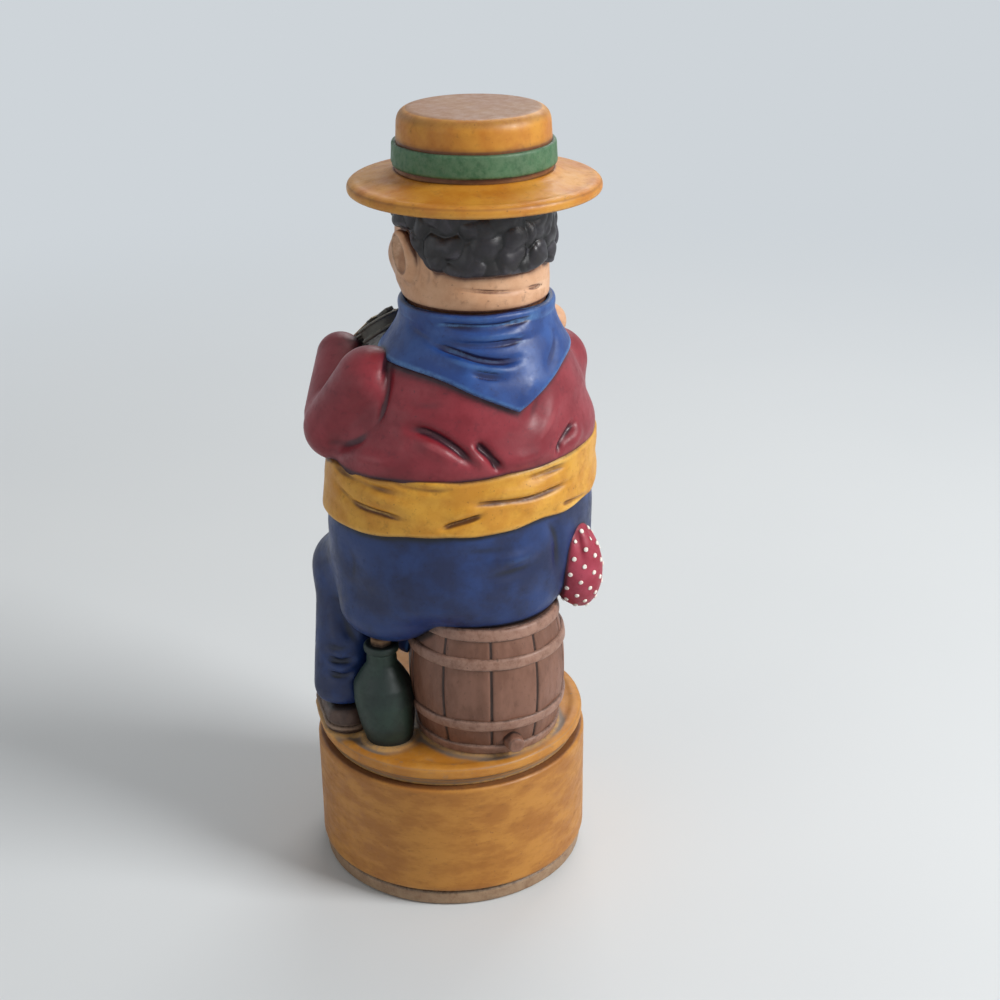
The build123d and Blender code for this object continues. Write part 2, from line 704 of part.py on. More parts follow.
# Winding key with its arbor
key_length = 22.0
key_height = 7.5
key_thickness = 2.4
key_lift = 0.5
key_z = well_depth - key_height - key_lift
case_z = bed_z + bed_height + part_clearance
arbor_top = case_z + barrel_case_height - gear_height
winding_key = upright(arbor_radius, arbor_top - key_z, key_x, key_y, key_z)
key_wing = block(key_length, key_thickness, key_height, key_x, key_y, key_z)
winding_key = winding_key + key_wing

# Spring barrel with its crown of teeth, and the coiled mainspring inside it
case_wall = 1.6
spring_inner = 4.4
case_radius = crown_gear_radius
spring_case = upright(case_radius, barrel_case_height, key_x, key_y, case_z)
case_room = upright(case_radius - case_wall, barrel_case_height - case_wall - case_wall, key_x, key_y, case_z + case_wall)
spring_case = spring_case - case_room
spring_case = spring_case - upright(arbor_radius + shaft_clearance, arbor_top - case_z + shaft_clearance, key_x, key_y, case_z)
case_top = case_z + barrel_case_height
crown_tooth_share = 0.36
tooth_width = pi * crown_gear_radius / crown_teeth * crown_tooth_share
tooth_depth = 2.4
for i in range(crown_teeth):
    tooth = block(tooth_depth, tooth_width, tooth_height, crown_gear_radius - tooth_depth / 2, 0, 0)
    spring_case = spring_case + at(key_x, key_y, case_top) * Rot(0, 0, 360 * i / crown_teeth) * tooth
mainspring = tube(
    case_radius - case_wall - part_clearance,
    spring_inner,
    barrel_case_height - case_wall - case_wall - part_clearance,
    key_x,
    key_y,
    case_z + case_wall,
)

# Pinned cylinder on its axle, the pinion meshing with the crown teeth
pinion_x = key_x + crown_gear_radius - tooth_depth / 2
pinion_tooth_share = 0.20
pinion_root = axle_z - case_top - tooth_height - part_clearance
pinion_tip = axle_z - case_top - part_clearance * 3
pinion_tooth = pinion_tip * 2 * sin(pi / pinion_teeth) * pinion_tooth_share
cylinder_gap = 3.0
cylinder_start = pinion_x + tooth_depth / 2 + cylinder_gap + bearing_thickness + part_clearance
end_wheel_radius = 8.6
end_wheel_teeth = 24
end_wheel_width = 2.0
bearing_2_x = cylinder_start + cylinder_length + end_wheel_width + part_clearance * 2
axle_end = bearing_2_x + bearing_thickness


def along_x(radius, length, x, y, z):
    return at(x, y, z) * Rot(0, 90, 0) * Cylinder(radius, length, align=(Align.CENTER, Align.CENTER, Align.MIN))


pinion_start = pinion_x - tooth_depth / 2
pinned_cylinder = along_x(axle_radius, axle_end - pinion_start, pinion_start, key_y, axle_z)
pinned_cylinder = pinned_cylinder + along_x(cylinder_radius, cylinder_length, cylinder_start, key_y, axle_z)
pinned_cylinder = pinned_cylinder + along_x(pinion_root, tooth_depth, pinion_start, key_y, axle_z)
for i in range(pinion_teeth):
    tooth = block(tooth_depth, pinion_tooth, pinion_tip, tooth_depth / 2, 0, 0)
    turn = 360 * (i + 0.5) / pinion_teeth
    pinned_cylinder = pinned_cylinder + at(pinion_start, key_y, axle_z) * Rot(turn, 0, 0) * tooth
wheel_start = cylinder_start + cylinder_length
pinned_cylinder = pinned_cylinder + along_x(end_wheel_radius - tooth_height / 2, end_wheel_width, wheel_start, key_y, axle_z)
end_tooth_share = 0.8
end_tooth = pi * end_wheel_radius / end_wheel_teeth * end_tooth_share
for i in range(end_wheel_teeth):
    tooth = block(end_wheel_width, end_tooth, end_wheel_radius, end_wheel_width / 2, 0, 0)
    pinned_cylinder = pinned_cylinder + at(wheel_start, key_y, axle_z) * Rot(360 * i / end_wheel_teeth, 0, 0) * tooth
pin_radius = 0.45
pin_height = 0.9
pin_rows = 12
pin_rings = 6
for row in range(pin_rows):
    x = cylinder_start + cylinder_length * (row + 0.5) / pin_rows
    for ring in range(pin_rings):
        pin = upright(pin_radius, cylinder_radius + pin_height, 0, 0, 0)
        turn = 360 * (ring + (row * 5 % 7) / 7) / pin_rings
        pinned_cylinder = pinned_cylinder + at(x, key_y, axle_z) * Rot(turn, 0, 0) * pin

bearings = []
for x in (cylinder_start - bearing_thickness - part_clearance, bearing_2_x):
    post = block(bearing_thickness, bearing_width, axle_z + bearing_width / 2 - case_z + part_clearance, x + bearing_thickness / 2, key_y, bed_z + bed_height)
    post = post - along_x(axle_radius + shaft_clearance, bearing_thickness + overrun, x - overrun / 2, key_y, axle_z)
    bearings.append(post)

# Comb with its teeth under the cylinder pins, and the block and screws that hold it
comb_teeth = pin_rows
comb_length = 18.0
comb_thickness = 1.2
comb_gap = 0.35
comb_slot = 0.6
comb_block_depth = 8.0
comb_y = key_y - cylinder_radius - pin_height - comb_gap
comb_x = cylinder_start + cylinder_length / 2
comb = block(cylinder_length, comb_length, comb_thickness, comb_x, comb_y - comb_length / 2, axle_z - comb_thickness / 2)
for i in range(1, comb_teeth):
    x = cylinder_start + cylinder_length * i / comb_teeth
    slot = block(comb_slot, comb_length - comb_block_depth, comb_thickness + overrun, x, comb_y - (comb_length - comb_block_depth) / 2, axle_z - overrun / 2)
    comb = comb - slot
block_y = comb_y - comb_length + comb_block_depth / 2
block_top = axle_z - comb_thickness / 2
comb_block = block(cylinder_length, comb_block_depth, block_top - bed_z - bed_height, comb_x, block_y, bed_z + bed_height)
comb_screws = []
for side in (-1, 1):
    x = comb_x + side * cylinder_length / 3
    hole = upright(screw_radius / 2, comb_block_depth, x, block_y, block_top - comb_block_depth / 2)
    comb = comb - hole
    comb_block = comb_block - hole
    screw = upright(screw_radius / 2, comb_block_depth / 2 + comb_thickness, x, block_y, block_top - comb_block_depth / 2)
    comb_screws.append(screw + upright(screw_radius, screw_head_height, x, block_y, block_top + comb_thickness))

# Governor: a vertical worm and fan beside the end wheel
worm_radius = 1.8
fan_radius = 6.5
fan_height = 5.0
fan_thickness = 0.8
worm_x = wheel_start + end_wheel_width / 2
worm_y = key_y + end_wheel_radius + worm_radius + part_clearance
worm_low = bed_z + bed_height + part_clearance
worm_top = axle_z + end_wheel_radius / 2 + fan_height
governor_fan = upright(worm_radius, worm_top - worm_low, worm_x, worm_y, worm_low)
fan_blade = block(fan_radius + fan_radius, fan_thickness, fan_height, worm_x, worm_y, worm_top - fan_height)
governor_fan = governor_fan + fan_blade
bracket_arm = 2.4
governor_fan = governor_fan + upright(axle_radius / 2, bracket_arm, worm_x, worm_y, worm_top)
bracket_y = worm_y + fan_radius + part_clearance + bracket_arm
governor_bracket = block(bracket_arm * 2, bracket_arm, worm_top + bracket_arm + part_clearance - bed_z - bed_height, worm_x, bracket_y, bed_z + bed_height)
top_arm = block(bracket_arm * 2, bracket_y - worm_y + bracket_arm, bracket_arm, worm_x, (bracket_y + worm_y) / 2 - bracket_arm / 2, worm_top + part_clearance)
governor_bracket = governor_bracket + top_arm
governor_bracket = governor_bracket - upright(axle_radius / 2 + shaft_clearance, bracket_arm * 3, worm_x, worm_y, worm_top)

# Stop lever on its own upright arbor, slotted under the base
lever_length = 14.0
lever_width = 3.0
lever_thickness = 1.6
lever_z = worm_top - fan_height - lever_thickness
slot_width = 0.8
stop_lever = upright(stop_radius, lever_z + lever_thickness - part_clearance, stop_x, stop_y, part_clearance)
stop_lever = stop_lever - block(stop_radius * 4, slot_width, slot_width, stop_x, stop_y, part_clearance)
stop_lever = stop_lever + block(lever_width, lever_length, lever_thickness, stop_x, stop_y + lever_length / 2 - lever_width / 2, lever_z)
lever_collar = upright(stop_radius + stop_radius, lever_thickness, stop_x, stop_y, bed_z + bed_height + part_clearance)
stop_lever = stop_lever + lever_collar

pieces = {
    "plinth_drum": plinth_drum,
    "foot_ring": foot_ring,
    "ground_disc": ground_disc,
    "barrel_staves": barrel_staves,
    "barrel_peg": barrel_peg,
    "bottle_body": bottle_body,
    "bottle_lip": bottle_lip,
    "bottle_cork": bottle_cork,
    "trousers": trousers,
    "left_leg": left_leg,
    "right_leg": right_leg,
    "left_shoe": left_shoe,
    "right_shoe": right_shoe,
    "left_sole": left_sole,
    "right_sole": right_sole,
    "shirt_body": shirt_body,
    "sash": sash,
    "sash_knot": sash_knot,
    "sash_tail": sash_tail,
    "kerchief": kerchief,
    "kerchief_knot": kerchief_knot,
    "left_upper_arm": left_upper_arm,
    "left_forearm": left_forearm,
    "left_hand": left_hand,
    "right_upper_arm": right_upper_arm,
    "right_forearm": right_forearm,
    "right_hand": right_hand,
    "fiddle_body": fiddle_body,
    "fiddle_neck": fiddle_neck,
    "fiddle_bridge": fiddle_bridge,
    "bow_stick": bow_stick,
    "handkerchief": handkerchief,
    "head": head,
    "hair": hair,
    "hat_brim": hat_brim,
    "hat_crown": hat_crown,
    "hat_band": hat_band,
    "stopper_shank": stopper_shank,
    "stopper_cork": stopper_cork,
    "base_plate": base_plate,
    "bedplate": bedplate,
    "winding_key": winding_key,
    "spring_case": spring_case,
    "mainspring": mainspring,
    "pinned_cylinder": pinned_cylinder,
    "comb": comb,
    "comb_block": comb_block,
    "governor_fan": governor_fan,
    "governor_bracket": governor_bracket,
    "stop_lever": stop_lever,
}
hoop_names = ["barrel_hoop_foot", "barrel_hoop_low", "barrel_hoop_high", "barrel_hoop_top"]
for name, hoop in zip(hoop_names, barrel_hoops):
    pieces[name] = hoop
pieces["shirt_buttons"] = Compound(children=[solid for button in shirt_buttons for solid in button.solids()])
pieces["base_screws"] = Compound(children=[solid for screw in base_screws for solid in screw.solids()])
pieces["bed_posts"] = Compound(children=[solid for post in bed_posts for solid in post.solids()])
pieces["cylinder_bearings"] = Compound(children=[solid for post in bearings for solid in post.solids()])
pieces["comb_screws"] = Compound(children=[solid for screw in comb_screws for solid in screw.solids()])

os.makedirs("parts", exist_ok=True)
for name, piece in pieces.items():
    export_step(piece, f"parts/{name}.step")
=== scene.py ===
from math import cos, sin, pi, radians, sqrt

import bpy
import numpy as np
from mathutils import Matrix, Vector


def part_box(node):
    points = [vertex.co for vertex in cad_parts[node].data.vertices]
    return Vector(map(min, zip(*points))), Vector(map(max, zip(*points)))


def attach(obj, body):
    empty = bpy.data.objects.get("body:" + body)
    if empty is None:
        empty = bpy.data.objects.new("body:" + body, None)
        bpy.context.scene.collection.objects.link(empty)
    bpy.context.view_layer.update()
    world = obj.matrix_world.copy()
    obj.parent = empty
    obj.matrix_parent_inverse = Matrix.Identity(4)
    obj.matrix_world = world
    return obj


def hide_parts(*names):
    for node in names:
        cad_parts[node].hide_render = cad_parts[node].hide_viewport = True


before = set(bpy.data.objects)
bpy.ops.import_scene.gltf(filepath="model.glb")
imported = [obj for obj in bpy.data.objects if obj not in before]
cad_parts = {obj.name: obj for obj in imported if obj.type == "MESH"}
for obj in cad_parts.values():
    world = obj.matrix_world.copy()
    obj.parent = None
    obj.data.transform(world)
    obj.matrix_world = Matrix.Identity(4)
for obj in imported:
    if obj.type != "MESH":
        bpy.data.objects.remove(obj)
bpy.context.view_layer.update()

# Painted ceramic decanter: a seated fiddler on a barrel and a round plinth.
# Shapes are worked out in millimetres as distance fields, then meshed in metres.
MM = 0.001


def low(node, axis):
    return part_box(node)[0][axis] / MM


def high(node, axis):
    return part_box(node)[1][axis] / MM


def middle(node, axis):
    return (low(node, axis) + high(node, axis)) / 2


# Sizes read from the frame
ground = high("ground_disc", 2)
seat = high("barrel_staves", 2)
collar = high("shirt_body", 2)
hat_seat = low("hat_brim", 2)
crown_top = high("hat_crown", 2)
neck_x = middle("hat_brim", 0)
neck_y = middle("hat_brim", 1)
barrel_x = middle("barrel_staves", 0)
barrel_y = middle("barrel_staves", 1)
bottle_x = middle("bottle_lip", 0)
bottle_y = middle("bottle_lip", 1)
trunk_height = collar - seat

far = 1e9
tiny = 1e-6
edge_sharp = 0.3
edge_crisp = 0.4
edge_soft = 1.0
neck_line = (neck_x, neck_y)
barrel_line = (barrel_x, barrel_y)
bottle_line = (bottle_x, bottle_y)
centre_line = (0.0, 0.0)

# Camera, fitted to the photograph
camera_azimuth = radians(152)
camera_reach = 612.8
camera_height = 419.9
camera_yaw = radians(1.953)
camera_pitch = radians(23.695)
camera_roll = radians(-0.615)
camera_lens = 62.25
sensor = 36.0
picture = 1000

towards = np.array([sin(camera_azimuth), -cos(camera_azimuth), 0.0])
across = np.array([cos(camera_azimuth), sin(camera_azimuth), 0.0])
eye = towards * camera_reach + np.array([0.0, 0.0, camera_height])
level = cos(camera_pitch)
aim = -towards * level * cos(camera_yaw) + across * level * sin(camera_yaw)
aim = aim - np.array([0.0, 0.0, sin(camera_pitch)])
flat_right = np.cross(aim, [0.0, 0.0, 1.0])
flat_right = flat_right / np.linalg.norm(flat_right)
flat_up = np.cross(flat_right, aim)
eye_right = cos(camera_roll) * flat_right + sin(camera_roll) * flat_up
eye_up = cos(camera_roll) * flat_up - sin(camera_roll) * flat_right


# Distance fields. p is an array of points, one row each, in millimetres
def norm(v):
    return np.sqrt((v * v).sum(-1))


def blend(a, b, k):
    h = np.clip(0.5 + 0.5 * (b - a) / k, 0, 1)
    return b + (a - b) * h - k * h * (1 - h)


def both(a, b, k):
    return -blend(-a, -b, k)


def carve(a, b, k):
    return both(a, -b, k)


def bell(gap, width):
    """1 where the gap is zero, less away from it."""
    return np.exp(-(gap / width) ** 2)


def ease(share):
    """A smooth step from 0 to 1."""
    return share * share * (3 - 2 * share)


def off_line(p, line):
    """Distance from an upright line."""
    return np.hypot(p[:, 0] - line[0], p[:, 1] - line[1])


def slab(p, bottom, top):
    """Distance outside two level planes."""
    return np.maximum(bottom - p[:, 2], p[:, 2] - top)


def cut_foot(d, p, height, k):
    return both(d, height - p[:, 2], k)


def cut_top(d, p, height, k):
    return both(d, p[:, 2] - height, k)


def ball(p, centre, radius):
    return norm(p - np.array(centre)) - radius


def turn_matrix(turn):
    """Rows of a rotation given as degrees about X, Y and Z."""
    x, y, z = [radians(a) for a in turn]
    return np.array(Matrix.Rotation(z, 3, "Z") @ Matrix.Rotation(y, 3, "Y") @ Matrix.Rotation(x, 3, "X"))


def egg(p, centre, radii, turn=(0, 0, 0)):
    radii = np.array(radii, float)
    q = (p - np.array(centre)) @ turn_matrix(turn)
    k0 = norm(q / radii)
    k1 = norm(q / (radii * radii))
    return k0 * (k0 - 1) / np.maximum(k1, tiny)


def limb(p, a, b, ra, rb):
    a = np.array(a, float)
    ba = np.array(b, float) - a
    pa = p - a
    h = np.clip(pa @ ba / (ba @ ba), 0, 1)
    return norm(pa - h[:, None] * ba) - (ra + (rb - ra) * h)


def rod(p, line, radius, bottom, top):
    """An upright round bar."""
    return np.maximum(off_line(p, line) - radius, slab(p, bottom, top))


def oval(x, y, a, b):
    """Distance from an upright elliptical wall."""
    k0 = np.hypot(x / a, y / b)
    k1 = np.hypot(x / (a * a), y / (b * b))
    return k0 * (k0 - 1) / np.maximum(k1, tiny)


def plate(p, line, radius, bottom, top, edge):
    """A round plate with rounded edges."""
    side = off_line(p, line) - radius + edge
    cap = np.abs(p[:, 2] - (bottom + top) / 2) - (top - bottom) / 2 + edge
    return np.minimum(np.maximum(side, cap), 0) + np.hypot(np.maximum(side, 0), np.maximum(cap, 0)) - edge


def cells(p, size, seed):
    """Distance to the nearest of scattered points, as a share of their spacing."""
    count = 16
    table = np.random.default_rng(seed).random((count, count, count, 3))
    q = p / size
    i = np.floor(q).astype(int)
    best = np.full(len(p), far)
    for corner in np.ndindex(3, 3, 3):
        j = i + np.array(corner) - 1
        spot = j + table[j[:, 0] % count, j[:, 1] % count, j[:, 2] % count]
        best = np.minimum(best, norm(q - spot))
    return best


def noise(p, size, seed):
    """Smooth value noise from -1 to 1."""
    count = 32
    table = np.random.default_rng(seed).random((count, count, count)) * 2 - 1
    q = p / size
    i = np.floor(q).astype(int)
    f = ease(q - i)
    total = np.zeros(len(p))
    for corner in range(8):
        step = np.array([corner & 1, corner >> 1 & 1, corner >> 2 & 1])
        j = (i + step) % count
        weight = np.where(step, f, 1 - f).prod(1)
        total += weight * table[j[:, 0], j[:, 1], j[:, 2]]
    return total


# Unevenness of the clay: height, size of the bumps and seed
uneven = {
    "trousers": (0.25, 17.0, 3), "shirt": (0.25, 15.0, 5), "sash": (0.45, 13.0, 8),
    "sash_edge": (0.7, 12.0, 9), "kerchief": (0.2, 11.0, 11), "hairline": (1.2, 7.0, 21),
    "crown": (0.12, 14.0, 31), "brim": (0.15, 19.0, 32), "band": (0.08, 9.0, 33),
    "grain": (0.08, 2.2, 41), "staves": (0.12, 9.0, 42), "hoop": (0.06, 7.0, 43),
    "peg": (0.25, 2.6, 44), "bottle": (0.15, 8.0, 51), "lip": (0.1, 5.0, 52),
    "cork": (0.25, 1.8, 53), "sole": (0.1, 4.0, 55), "hand": (0.12, 4.0, 57),
    "handkerchief": (0.3, 8.0, 61), "drum": (0.10, 16.0, 71), "foot": (0.08, 12.0, 72),
    "ground": (0.3, 10.0, 73), "brow": (0.2, 1.6, 81),
}


def lumps(p, name):
    height, size, seed = uneven[name]
    return height * noise(p, size, seed)


def smooth_table(rows, samples=600, spread=18):
    """Rows of (share, values...) made into a dense smooth table."""
    rows = np.array(rows, float)
    lowest, highest = rows[0, 0], rows[-1, 0]
    s = np.linspace(lowest, highest, samples)
    kernel = np.exp(-np.linspace(-2, 2, 2 * spread + 1) ** 2)
    kernel = kernel / kernel.sum()
    columns = []
    for column in rows.T[1:]:
        values = np.interp(s, rows[:, 0], column)
        start = 2 * values[0] - values[spread:0:-1]
        end = 2 * values[-1] - values[-2:-spread - 2:-1]
        padded = np.concatenate([start, values, end])
        columns.append(np.convolve(padded, kernel, "valid"))
    return s, columns


def look_up(at, table):
    rows, columns = table
    return [np.interp(at, rows, column) for column in columns]


def rounded_path(points, pieces=5):
    """A Catmull-Rom curve through the points."""
    points = np.array(points, float)
    if len(points) < 3:
        return points
    ends = [2 * points[0] - points[1], *points, 2 * points[-1] - points[-2]]
    curve = []
    for a, b, c, d in zip(ends, ends[1:], ends[2:], ends[3:]):
        for t in np.arange(pieces) / pieces:
            square = (2 * a - 5 * b + 4 * c - d) * t * t
            cube = (3 * b - a - 3 * c + d) * t ** 3
            curve.append(0.5 * (2 * b + (c - a) * t + square + cube))
    curve.append(points[-1])
    return np.array(curve)


def along(p, path):
    """Distance to a path and the share of its length reached there."""
    best = np.full(len(p), far)
    share = np.zeros(len(p))
    lengths = norm(np.diff(path, axis=0))
    total = lengths.sum()
    done = 0.0
    for a, b, run in zip(path, path[1:], lengths):
        ba = b - a
        h = np.clip((p - a) @ ba / max(run * run, tiny), 0, 1)
        d = norm(p - a - h[:, None] * ba)
        nearer = d < best
        best[nearer] = d[nearer]
        share[nearer] = ((done + h * run) / total)[nearer]
        done += run
    return best, share


stroke_reach = 3
stroke_depth_reach = 4


def stroke(d, p, path, width, depth, taper=0.5):
    """A groove of that depth along a path, or a ridge where the depth is negative."""
    reach = stroke_reach * width
    near = np.all((p > path.min(0) - reach) & (p < path.max(0) + reach), axis=1)
    near = near & (np.abs(d) < reach + stroke_depth_reach)
    if not near.any():
        return d
    away, share = along(p[near], path)
    away = np.sqrt(np.maximum(away ** 2 - d[near] ** 2, 0))
    ends = ease(np.clip(np.minimum(share, 1 - share) / max(taper, tiny), 0, 1))
    d = d.copy()
    d[near] += depth * ends * bell(away, width)
    return d


def folded(d, p, folds):
    for path, width, depth, taper in folds:
        d = stroke(d, p, path, width, depth, taper)
    return d


full_mark_depth = 1.8
mark_width_share = 0.6
mark_narrow = 0.9
mark_wide = 1.6


def traces(folds, base, sign):
    """A mark along the grooves of some folds, painted there as shade, or along their ridges where the sign is
    -1, painted there as a highlight.
    """
    def rule(p, normals):
        d = base(p)
        share = np.zeros(len(p))
        for path, width, depth, taper in folds:
            if depth * sign > 0:
                strength = min(abs(depth) / full_mark_depth, 1)
                line = min(max(width * mark_width_share, mark_narrow), mark_wide)
                share = np.maximum(share, stroke(d, p, path, line, strength, taper) - d)
        return share
    return rule


def fold_marks(folds, base):
    return {"crease": traces(folds, base, 1), "ridge": traces(folds, base, -1)}


ray_steps = 60
ray_caution_share = 0.8
ray_hit = 0.03
ray_least = 0.02


def seen(pixels, form):
    """Points of a form's surface that the camera sees at these pixels of the photograph."""
    pixels = np.array(pixels, float) - picture / 2
    focal = camera_lens / sensor * picture
    rays = aim + pixels[:, :1] / focal * eye_right - pixels[:, 1:] / focal * eye_up
    rays = rays / norm(rays)[:, None]
    travelled = np.full(len(rays), camera_reach * ray_caution_share)
    nearest = np.full(len(rays), far)
    met = travelled.copy()
    for _ in range(ray_steps):
        gap = form(eye + rays * travelled[:, None])
        closer = gap < nearest
        nearest[closer] = gap[closer]
        met[closer] = travelled[closer]
        travelled = travelled + np.where(nearest < ray_hit, 0, np.maximum(gap, ray_least) * ray_caution_share)
    return eye + rays * met[:, None]


# Meshing
def surface_net(d, start, step):
    """Vertices and quads where the grid of distances d changes sign."""
    inside = d < 0
    corners = [(i, j, k) for i in (0, 1) for j in (0, 1) for k in (0, 1)]
    size = np.array(d.shape) - 1
    count = np.zeros(size, np.int8)
    for i, j, k in corners:
        count += inside[i:i + size[0], j:j + size[1], k:k + size[2]]
    active = (count > 0) & (count < 8)
    cells = np.argwhere(active)
    index = np.full(size, -1, np.int64)
    index[active] = np.arange(len(cells))
    total = np.zeros((len(cells), 3))
    hits = np.zeros(len(cells))
    for a in corners:
        for axis in range(3):
            if a[axis]:
                continue
            b = list(a)
            b[axis] = 1
            da = d[cells[:, 0] + a[0], cells[:, 1] + a[1], cells[:, 2] + a[2]]
            db = d[cells[:, 0] + b[0], cells[:, 1] + b[1], cells[:, 2] + b[2]]
            cross = (da < 0) != (db < 0)
            t = da[cross] / (da[cross] - db[cross])
            place = np.tile(np.array(a, float), (cross.sum(), 1))
            place[:, axis] += t
            total[cross] += place
            hits[cross] += 1
    points = start + step * (cells + total / hits[:, None])
    quads = []
    for axis in range(3):
        u, v = [(1, 2), (2, 0), (0, 1)][axis]
        first = [slice(1, -1)] * 3
        second = [slice(1, -1)] * 3
        first[axis] = slice(0, -1)
        second[axis] = slice(1, None)
        here, there = inside[tuple(first)], inside[tuple(second)]
        for sign, change in ((1, here & ~there), (-1, ~here & there)):
            at = np.argwhere(change)
            offset = np.ones(3, int)
            offset[axis] = 0
            at = at + offset
            ring = []
            for du, dv in ((-1, -1), (0, -1), (0, 0), (-1, 0)):
                cell = at.copy()
                cell[:, u] += du
                cell[:, v] += dv
                ring.append(index[cell[:, 0], cell[:, 1], cell[:, 2]])
            quad = np.stack(ring, 1)
            quads.append(quad if sign > 0 else quad[:, ::-1])
    return points, np.concatenate(quads)


block = 4
block_reach = 1.2
block_extra = 1.5
batch = 400000


def sample(form, lowest, highest, step):
    """A grid of the form's distances, exact only near the surface."""
    lowest = np.array(lowest, float)
    size = (np.ceil((np.array(highest, float) - lowest) / (step * block)).astype(int) + 1) * block
    coarse = [lowest[a] + step * block * (np.arange(size[a] // block) + 0.5) for a in range(3)]
    q = np.stack(np.meshgrid(*coarse, indexing="ij"), -1).reshape(-1, 3)
    rough = form(q).reshape([len(c) for c in coarse])
    near = np.abs(rough) < step * block * block_reach + block_extra
    grow = near.repeat(block, 0).repeat(block, 1).repeat(block, 2)
    d = rough.repeat(block, 0).repeat(block, 1).repeat(block, 2)
    fine = [lowest[a] + step * np.arange(size[a]) for a in range(3)]
    i, j, k = np.nonzero(grow)
    p = np.stack([fine[0][i], fine[1][j], fine[2][k]], -1)
    d[i, j, k] = np.concatenate([form(part) for part in np.array_split(p, max(1, len(p) // batch))])
    return d, lowest


def cavity(p, normals, world, reaches=(1.2, 2.5, 5.0)):
    """How far a point lies in a recess of the world, from 0 to 1."""
    total = np.zeros(len(p))
    for reach in reaches:
        gap = world(p + normals * reach)
        total += np.clip((reach - gap) / reach, 0, 1)
    return total / len(reaches)


def gradient(form, p, h=0.25):
    g = np.zeros_like(p)
    for axis in range(3):
        step = np.zeros(3)
        step[axis] = h
        g[:, axis] = form(p + step) - form(p - step)
    return g / np.maximum(norm(g), tiny)[:, None]


def add_attribute(mesh, name, values):
    layer = mesh.attributes.new(name, "FLOAT", "POINT")
    layer.data.foreach_set("value", np.asarray(values, np.float32))


wear_depth = 1.5


def clay(name, form, lowest, highest, step, world=None, marks=None):
    """A mesh of a form, with the dark wash and painted shade of its recesses and the wear of its edges stored
    on its points.
    """
    d, start = sample(form, lowest, highest, step)
    points, quads = surface_net(d, start, step)
    mesh = bpy.data.meshes.new(name)
    mesh.from_pydata((points * MM).tolist(), [], quads.tolist())
    mesh.update()
    mesh.shade_smooth()
    normals = gradient(form, points)
    # Recesses, also those between this piece and its neighbours, carry the dark wash together with painted
    # shade
    add_attribute(mesh, "wash_and_shade", cavity(points, normals, world or form))
    edge = np.clip((form(points - normals * wear_depth) + wear_depth) / wear_depth, 0, 1)
    add_attribute(mesh, "wear", edge)
    for key, rule in (marks or {}).items():
        add_attribute(mesh, key, rule(points, normals))
    piece = bpy.data.objects.new(name, mesh)
    bpy.context.scene.collection.objects.link(piece)
    return piece


def dress(piece, body, nodes, slot, material):
    piece.data.materials.clear()
    piece.data.materials.append(material)
    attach(piece, body)
    if nodes:
        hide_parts(*nodes)


# Figure: shares of height, lean from the seat to the neck, half width and half depth
seat_x = -4.0
seat_y = 5.0
hip_half_width = 52.7
hip_half_depth = 44.0
trunk_shares = [
    (-0.10, 0.00, 0.70, 0.72),
    (0.000, 0.00, 0.78, 0.80),
    (0.022, 0.00, 0.87, 0.88),
    (0.070, 0.00, 0.955, 0.96),
    (0.160, 0.00, 0.995, 1.00),
    (0.290, 0.00, 1.000, 1.00),
    (0.415, 0.04, 0.970, 0.975),
    (0.540, 0.18, 0.945, 0.96),
    (0.640, 0.34, 0.905, 0.935),
    (0.740, 0.55, 0.830, 0.880),
    (0.820, 0.75, 0.715, 0.800),
    (0.885, 0.92, 0.590, 0.695),
    (0.945, 1.00, 0.510, 0.610),
    (1.000, 1.00, 0.475, 0.569),
    (1.080, 1.00, 0.470, 0.563),
]
trunk_table = smooth_table(trunk_shares)


def trunk(p, grow=0.0):
    lean, wide, deep = look_up((p[:, 2] - seat) / trunk_height, trunk_table)
    x = p[:, 0] - seat_x - (neck_x - seat_x) * lean
    y = p[:, 1] - seat_y - (neck_y - seat_y) * lean
    return oval(x, y, hip_half_width * wide + grow, hip_half_depth * deep + grow)


# Places of the limbs, as in the construction
thigh_radius = 18.5
knee_radius = 14.0
calf_radius = 13.5
ankle_radius = 11.7
left_hip = (23.4, -3.8, seat + 18.5)
left_knee = (31.8, -21.4, seat + 6.2)
right_hip = (-30.3, -3.8, seat + 18.5)
right_knee = (-34.6, -30.2, seat + 6.2)
left_ankle = (42.6, -9.5, ground + 16.5)
right_ankle = (-30.5, -21.0, ground + 16.5)
left_shoulder = (31.6, 3.0, collar - 26.0)
left_elbow = (41.0, -8.0, collar - 45.5)
left_fore = (38.6, -15.2, collar - 43.3)
left_wrist = (25.2, -35.5, collar - 28.5)
left_palm = (19.6, -45.6, collar - 37.0)
right_shoulder = (-43.5, 8.5, collar - 30.0)
right_elbow = (-46.0, 2.0, collar - 47.7)
right_fore = (-46.5, -6.0, collar - 45.5)
right_wrist = (-49.0, -12.0, collar - 27.3)
right_palm = (-52.0, -9.5, collar - 20.5)

haunch = (27.0, 7.0, seat + 2.2)
haunch_radii = (21.0, 21.0, 15.0)
drape = (19.0, 3.0, seat - 11.0)
drape_radii = (9.0, 10.0, 14.0)
pad_radius = 25.4
pad_low = seat - 0.6
pad_high = seat + 6.0
pad_edge = 2.4
seat_low = seat - 1.0
seat_blend = 7.0
hem = ground + 11.0
hem_edge = 1.6
waist_share = 0.46
waist = seat + trunk_height * waist_share
cloth_blend = 6.0


